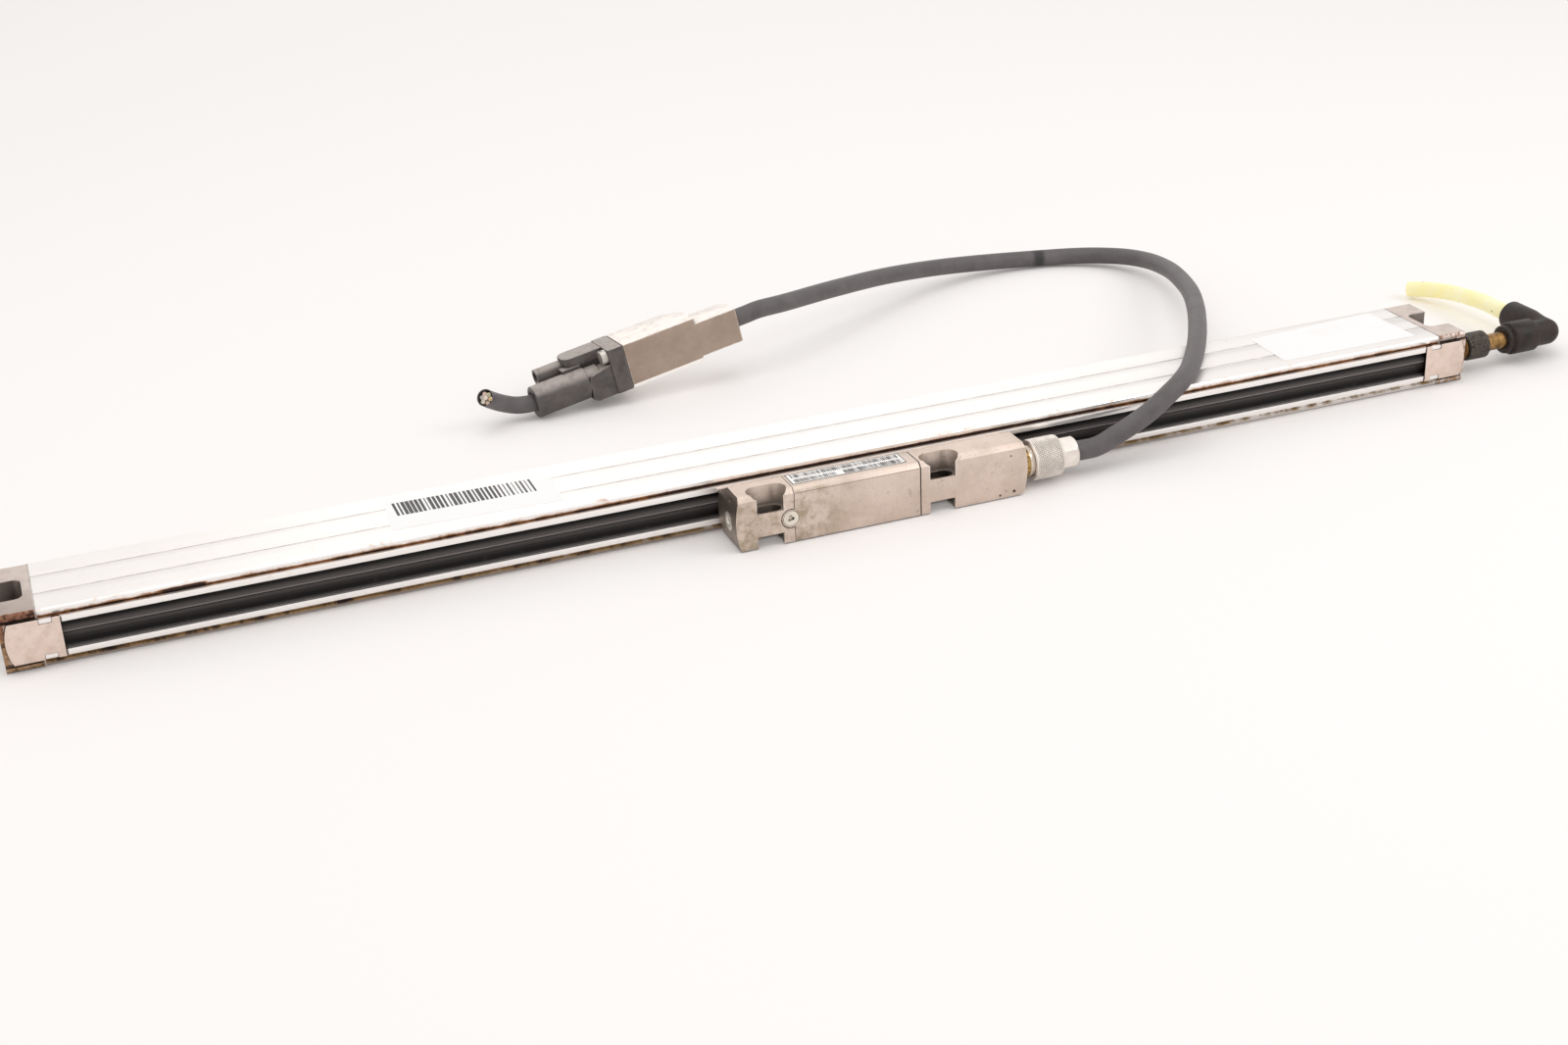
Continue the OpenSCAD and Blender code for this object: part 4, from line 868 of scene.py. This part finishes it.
def printed(name, body, start, run, count, widths, tall, seed):
    """A row of printed bars from start to the end of its run, in mm."""
    grown(name, BARS, {"Count": count, "Start": Vector(start), "Step": Vector(run) / (count - 1),
                       "Thin": widths[0], "Wide": widths[1], "Tall": tall, "Thick": 0.02,
                       "Seed": seed}, ink, "black_plastic", body)


for name, count, at, run, tall, seed in (("head_bars_upper", 52, (-11.4, -26.5), 35.4, 2.4, 9),
                                         ("head_bars_lower", 20, (-11.4, -30.0), 13.4, 2.4, 5),
                                         ("head_bars_right", 28, (5.2, -30.0), 18.8, 2.6, 3)):
    printed(name, "head", (*at, HEAD_TOP + 0.07), (run, 0, 0), count, (0.15, 0.62), tall, seed)


# ---- Round connector ----------------------------------------------------------------------------
# The lead plugs into the head's right end. A knurled nickel nut pulls the plug against a gold-plated
# ring in the head, and a short hood with six flats behind the nut leads the cable out.
RING_ROOT, RING_RIM = (66.9, 66.7), (68.6, 68.7)
gold, shader, spot = new_look("gold_plate")
dull = patches(spot, 600.0, 0.4, 0.7)
x = coordinates(spot)[0]
colour = mixed(dull, "b59663", "4d3b22")
colour = mixed(ramped(x, *RING_ROOT), colour, "1c1713")
colour = mixed(ramped(x, *RING_RIM), colour, "d9cdc1")
place(shader, Base_Color=colour, Metallic=ramped(x, *RING_RIM, 1.0, 0.85),
      Roughness=ramped(dull, 0, 1, 0.24, 0.4))
dressed("socket_ring", "socket_ring_gold", 0.12, gold, "gold_ring", "head")

nut_steel = nickel("knurled_nickel", "f6efe8", "ddd3ca", dirt="6b5a4c", rough=0.32, reach=0.5, seam=0.2,
                   brushed=(2500.0, 2500.0), speckle=0.2)
PORT_AXIS, start, end, radius = round_box("coupling_nut")
finish(turned("coupling_nut_body", [
    (start, 5.4), (start, radius - 0.2), (start + 0.15, radius - 0.08), (start + 0.3, radius - 0.08),
    (start + 0.45, radius - 0.2), (end - 0.5, radius - 0.2), (end - 0.15, radius - 0.35),
    (end, radius - 0.6), (end, 4.6), (end - 2.5, 4.6), (end - 2.5, 5.4)], PORT_AXIS),
       nut_steel, "nut_steel", "coupling_nut", "coupling_nut")
grown("coupling_nut_knurl", KNURL, {
    "Rows": 15, "Around": 50, "Radius": radius - KNURL_SINK, "Length": end - start - 1.5,
    "Size": 0.45, "Height": 0.22, "Origin": Vector((start + KNURL_FROM, *PORT_AXIS))},
      nut_steel, "nut_steel", "coupling_nut")
dressed("lead_hood", "lead_hood_six_flats", 0.15, nut_steel, "nut_steel", "head")

paint(two_toned("insert_black", "1b1b1c", "2d2c2b", 0.5, 900.0), "socket_pins")


# ---- Lead ---------------------------------------------------------------------------------------
# A screened cable in a charcoal polyurethane jacket, 6.6 mm across and about 0.45 m long. It leaves the
# connector straight, climbs over the housing, lies in one wide turn behind it and ends in the plug.
LEAD_EXIT = Vector((86.2, -27.5, 8.0)) * MM
LEAD_WAY = [(0, 0, 0), (8.3, 0, 0), (15.8, 1, 2), (22.8, 1.5, 4.6), (29.8, 2, 8), (36.3, 3.5, 11.3),
            (43.3, 7, 13.5), (51.3, 14.5, 14.1), (60.3, 26, 14.2), (69.8, 40, 14), (79.8, 56.5, 13.2),
            (89.3, 73.5, 11.6), (98.3, 91.5, 9.5), (105.8, 109.5, 7), (112.8, 129, 4), (117.3, 146.5, 1),
            (118.3, 159.5, -1), (115.8, 170.5, -2.5), (109.8, 179, -3.5), (100.8, 185.5, -4.1),
            (85.8, 191, -4.4), (61.8, 192, -2.7), (35.8, 185.5, 1), (7.8, 171.5, 6.2),
            (-20.2, 154.5, 11), (-44.2, 141.5, 13.8)]
PLUG_AT = LEAD_EXIT + Vector((-109.7, 124.1, -2.1)) * MM
PLUG_TURN = Euler([math.radians(a) for a in (-5, -9.6, 5)]).to_matrix()
SHELL_LENGTH = 44.5


def plug_point(u, v, w):
    """A point in the plug's own frame, in mm: u along it from its flange, v across, w up."""
    return PLUG_AT + PLUG_TURN @ (Vector((u, v, w)) * MM)


lead_path = eased([LEAD_EXIT + Vector(p) * MM for p in LEAD_WAY]
                  + [plug_point(SHELL_LENGTH + u, 7, 8.3) for u in (12, 6, 0)])
# The jacket is nicked at one place along its run; the cores show through it as long low swellings
NICK_RUN, NICK_HALF, NICK_SOFT = 270 * MM, 2.2 * MM, 1.2 * MM
jacket, shader, spot = new_look("lead_jacket")
route = add("ShaderNodeUVMap", tree=shader.id_data, uv_map="route")[0]
turns, run, _ = add("ShaderNodeSeparateXYZ", {0: route})
dusty, fine = patches(spot, 130.0, 0.3, 0.75), noise(spot, 5000.0, 3.0)
lay_of_cores = noise(add("ShaderNodeCombineXYZ", {0: total(product(turns, 6.0), product(run, 90.0)),
                                                  1: product(run, 8.0)})[0], 1.0, 1.0)
nick = product(zone(run, NICK_RUN - NICK_HALF, NICK_RUN + NICK_HALF, NICK_SOFT),
               ramped(fine, 0.35, 0.5))
place(shader, Base_Color=mixed(nick, mixed(dusty, "555051", "6b6566"), "1c1a1a"),
      Roughness=ramped(dusty, 0, 1, 0.46, 0.66),
      Normal=bumped(total(fine, product(lay_of_cores, 1.2)), 0.35, 0.06))
lead = hose_mesh("data_lead_cable", lead_path, 3.29 * MM, sides=36)
finish(lead, jacket, "lead_jacket", "head", "data_lead")


# ---- Plug ---------------------------------------------------------------------------------------
# The lead's plug: a nickel-plated housing screwed to a moulded black body. The body carries a round
# boot with a stub of cut cable in it, a second small boot, and two slotted jack screws.
def painted_foot_highlight(spot):
    """A painted highlight along the long lower edge of the shell, where it reflects the table."""
    up = (plug_point(0, 0, 1) - plug_point(0, 0, 0)).normalized()
    foot = min(corner.co.dot(up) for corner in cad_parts["plug_shell"].data.vertices)
    rise = add("ShaderNodeVectorMath", {0: spot, 1: up}, operation="DOT_PRODUCT")["Value"]
    return [(ramped(rise, foot + 1.1 * MM, foot + 1.3 * MM, 1.0, 0.0), "fffaf6")]


# Rubbed edges, partly real wear and partly painted highlight; pale dust with painted top light on what
# faces up; a painted highlight along the lower edge
shell_metal = nickel("plug_nickel", "ad9b8d", "9a887a", dirt="3a2c22", rough=0.36, reach=3.0,
                     brushed=(500.0, 500.0), cloud=60.0, rubbed=(0.9, 0.9), top="fdf6f0",
                     marks_and_painted_light=painted_foot_highlight)
shell = dressed("plug_shell", "plug_metal_housing", 0.45, shell_metal, "plug_nickel", "head", 3)

dusty_plastic, shader, spot = new_look("dusty_black")
dust = patches(spot, 220.0, 0.25, 0.7)
bare = largest(patches(spot, 1500.0, 0.62, 0.7, 0.7), worn(spot, 0.6))
colour = mixed(dust, "413c3b", "5f5855")
# Pale dust with painted top light on what faces up
colour = mixed(product(dust_and_top_light(spot, 500.0), 0.9), colour, "b3a8a2")
colour = mixed(product(bare, 0.35), colour, "a29a94")
# Dirt and painted shade in the crevices
colour = mixed(dirt_and_shade_in_crevices(spot, 2.0, 0.8), colour, "171413")
place(shader, Base_Color=colour, Roughness=ramped(dust, 0, 1, 0.4, 0.62),
      Normal=bumped(noise(spot, 4500.0, 3.0), 0.3, 0.05))
body = dressed("plug_body", "plug_moulded_body", 0.35, dusty_plastic, "plug_plastic", "head", 3)
boot = dressed("plug_boot", "plug_round_boot", 0.2, dusty_plastic, "plug_plastic", "head")
screws = dressed("plug_screws", "plug_jack_screws", 0.12, screw_steel, "screw_steel", "head")

STUB_WAY = [(-31, 6.1, 6.4), (-36, 6.1, 6.4), (-41.2, 6.5, 7.5), (-46.2, 5.4, 10.4), (-50.4, 2.6, 14),
            (-53.2, -0.8, 17)]
stub_path = eased([plug_point(*p) for p in STUB_WAY])
stub = hose_mesh("lead_stub_jacket", stub_path, 3.08 * MM, bore=0.9)
finish(stub, jacket, "lead_jacket", "head", "lead_stub")

# Cut ends of the stub's cores, each a short wire in its coloured insulation: six round a middle one
CORE_TONES = ("e9e4da", "8a5a3c", "cfa94b", "6f8f63", "c9a3a0", "7a86a8", "d9d5cf")
CORE_RADIUS, CORE_CIRCLE, CORE_INSIDE = 0.8 * MM, 1.85 * MM, 3 * MM
stub_end, stub_way = stub_path[-1], (stub_path[-1] - stub_path[-2]).normalized()
stub_side = stub_way.orthogonal().normalized()
offsets = [CORE_CIRCLE * (c * stub_side + s * stub_way.cross(stub_side)) for c, s in circle(6)]
random.seed(7)
for k, (code, offset) in enumerate(zip(CORE_TONES, (*offsets, Vector())), 1):
    start = stub_end + offset - stub_way * CORE_INSIDE
    tip = stub_end + offset * random.uniform(0.8, 1.1) + stub_way * random.uniform(-0.9, -0.2) * MM
    core = hose_mesh(f"stub_core_{k}", [start, (start + tip) / 2, tip], CORE_RADIUS, sides=14)
    insulation = two_toned(f"core_insulation_{k}", code, "e8d5bd", 0.45, 2500.0, 0.36, 0.6)
    finish(core, insulation, "lead_jacket", "head")


# ---- Labels on the housing ----------------------------------------------------------------------
# Two paper stickers on the housing's top: one with a plain field of bars, one blank. Neither carries
# any words or numbers.
HOUSING_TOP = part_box("scale_housing")[1].z / MM
paper, shader, spot = new_look("sticker_paper")
soiled = product(patches(spot, 90.0, 0.5, 0.85), 0.3)
place(shader, Base_Color=mixed(soiled, "fbfafa", "e8e2da"), Roughness=0.55,
      Normal=bumped(noise(spot, 2600.0, 4.0), 0.12, 0.03))
for name, corners in (("sticker_bars", ((-132.6, -9.2), (-80.0, -11.2), (-78.9, 7.0), (-130.9, 11.6))),
                      ("sticker_blank", ((176, -11.6), (229, -11.6), (227.9, 14.6), (176.8, 11)))):
    finish(sheet_label(name, corners, HOUSING_TOP, 0.08, 0.8), paper, "white_plastic", "housing")
printed("sticker_printed_bars", "housing", (-128.4, 4.8, HOUSING_TOP + 0.09), (42.6, -1.0, 0), 32,
        (0.22, 1.25), 9.6, 11)


# ---- Inside the housing and the head ------------------------------------------------------------
# The blade passes between the lips and carries the carriage, which rolls along the glass. It holds the
# lamp, lens and reticle in front of the glass and the photo cells behind it.
blade_steel = nickel("ground_steel", "c9c8c4", "a5a39e", reach=2.0, brushed=(40.0, 6000.0), speckle=0.1)
dressed("blade", "blade_sheet", 0.08, blade_steel, "blade_steel", "head")
paint(blade_steel, "coupling_spring")
carriage_metal = nickel("carriage_alloy", "9ea3a8", "7d8288", reach=2.0, brushed=(60.0, 4000.0),
                        speckle=0.1)
dressed("carriage_frame", "carriage_fork", 0.15, carriage_metal, "carriage_metal", "head")
paint(screw_steel, "roller_pins")
roller_steel = nickel("roller_steel", "e2e2e0", "c4c4c2", rough=0.2, reach=0.8, brushed=(3000.0, 3000.0))
for name in ("face_roller_left", "face_roller_right", "edge_roller_left", "edge_roller_right"):
    dressed(name, name + "_ring", 0.1, roller_steel, "roller_steel", name)

resist, shader, spot = new_look("solder_resist")
tracks = add("ShaderNodeTexBrick", {"Vector": spot, "Scale": 700.0, "Mortar Size": 0.06})["Fac"]
place(shader, Base_Color=mixed(tracks, "1f6a43", "2f8a58"), Roughness=0.35,
      Normal=bumped(tracks, 0.3, 0.05))
paint(resist, "head_board", "photo_board")
paint(two_toned("white_moulding", "e6e3da", "d2cdbf", 0.45, 500.0), "sensor_plug", "light_source")
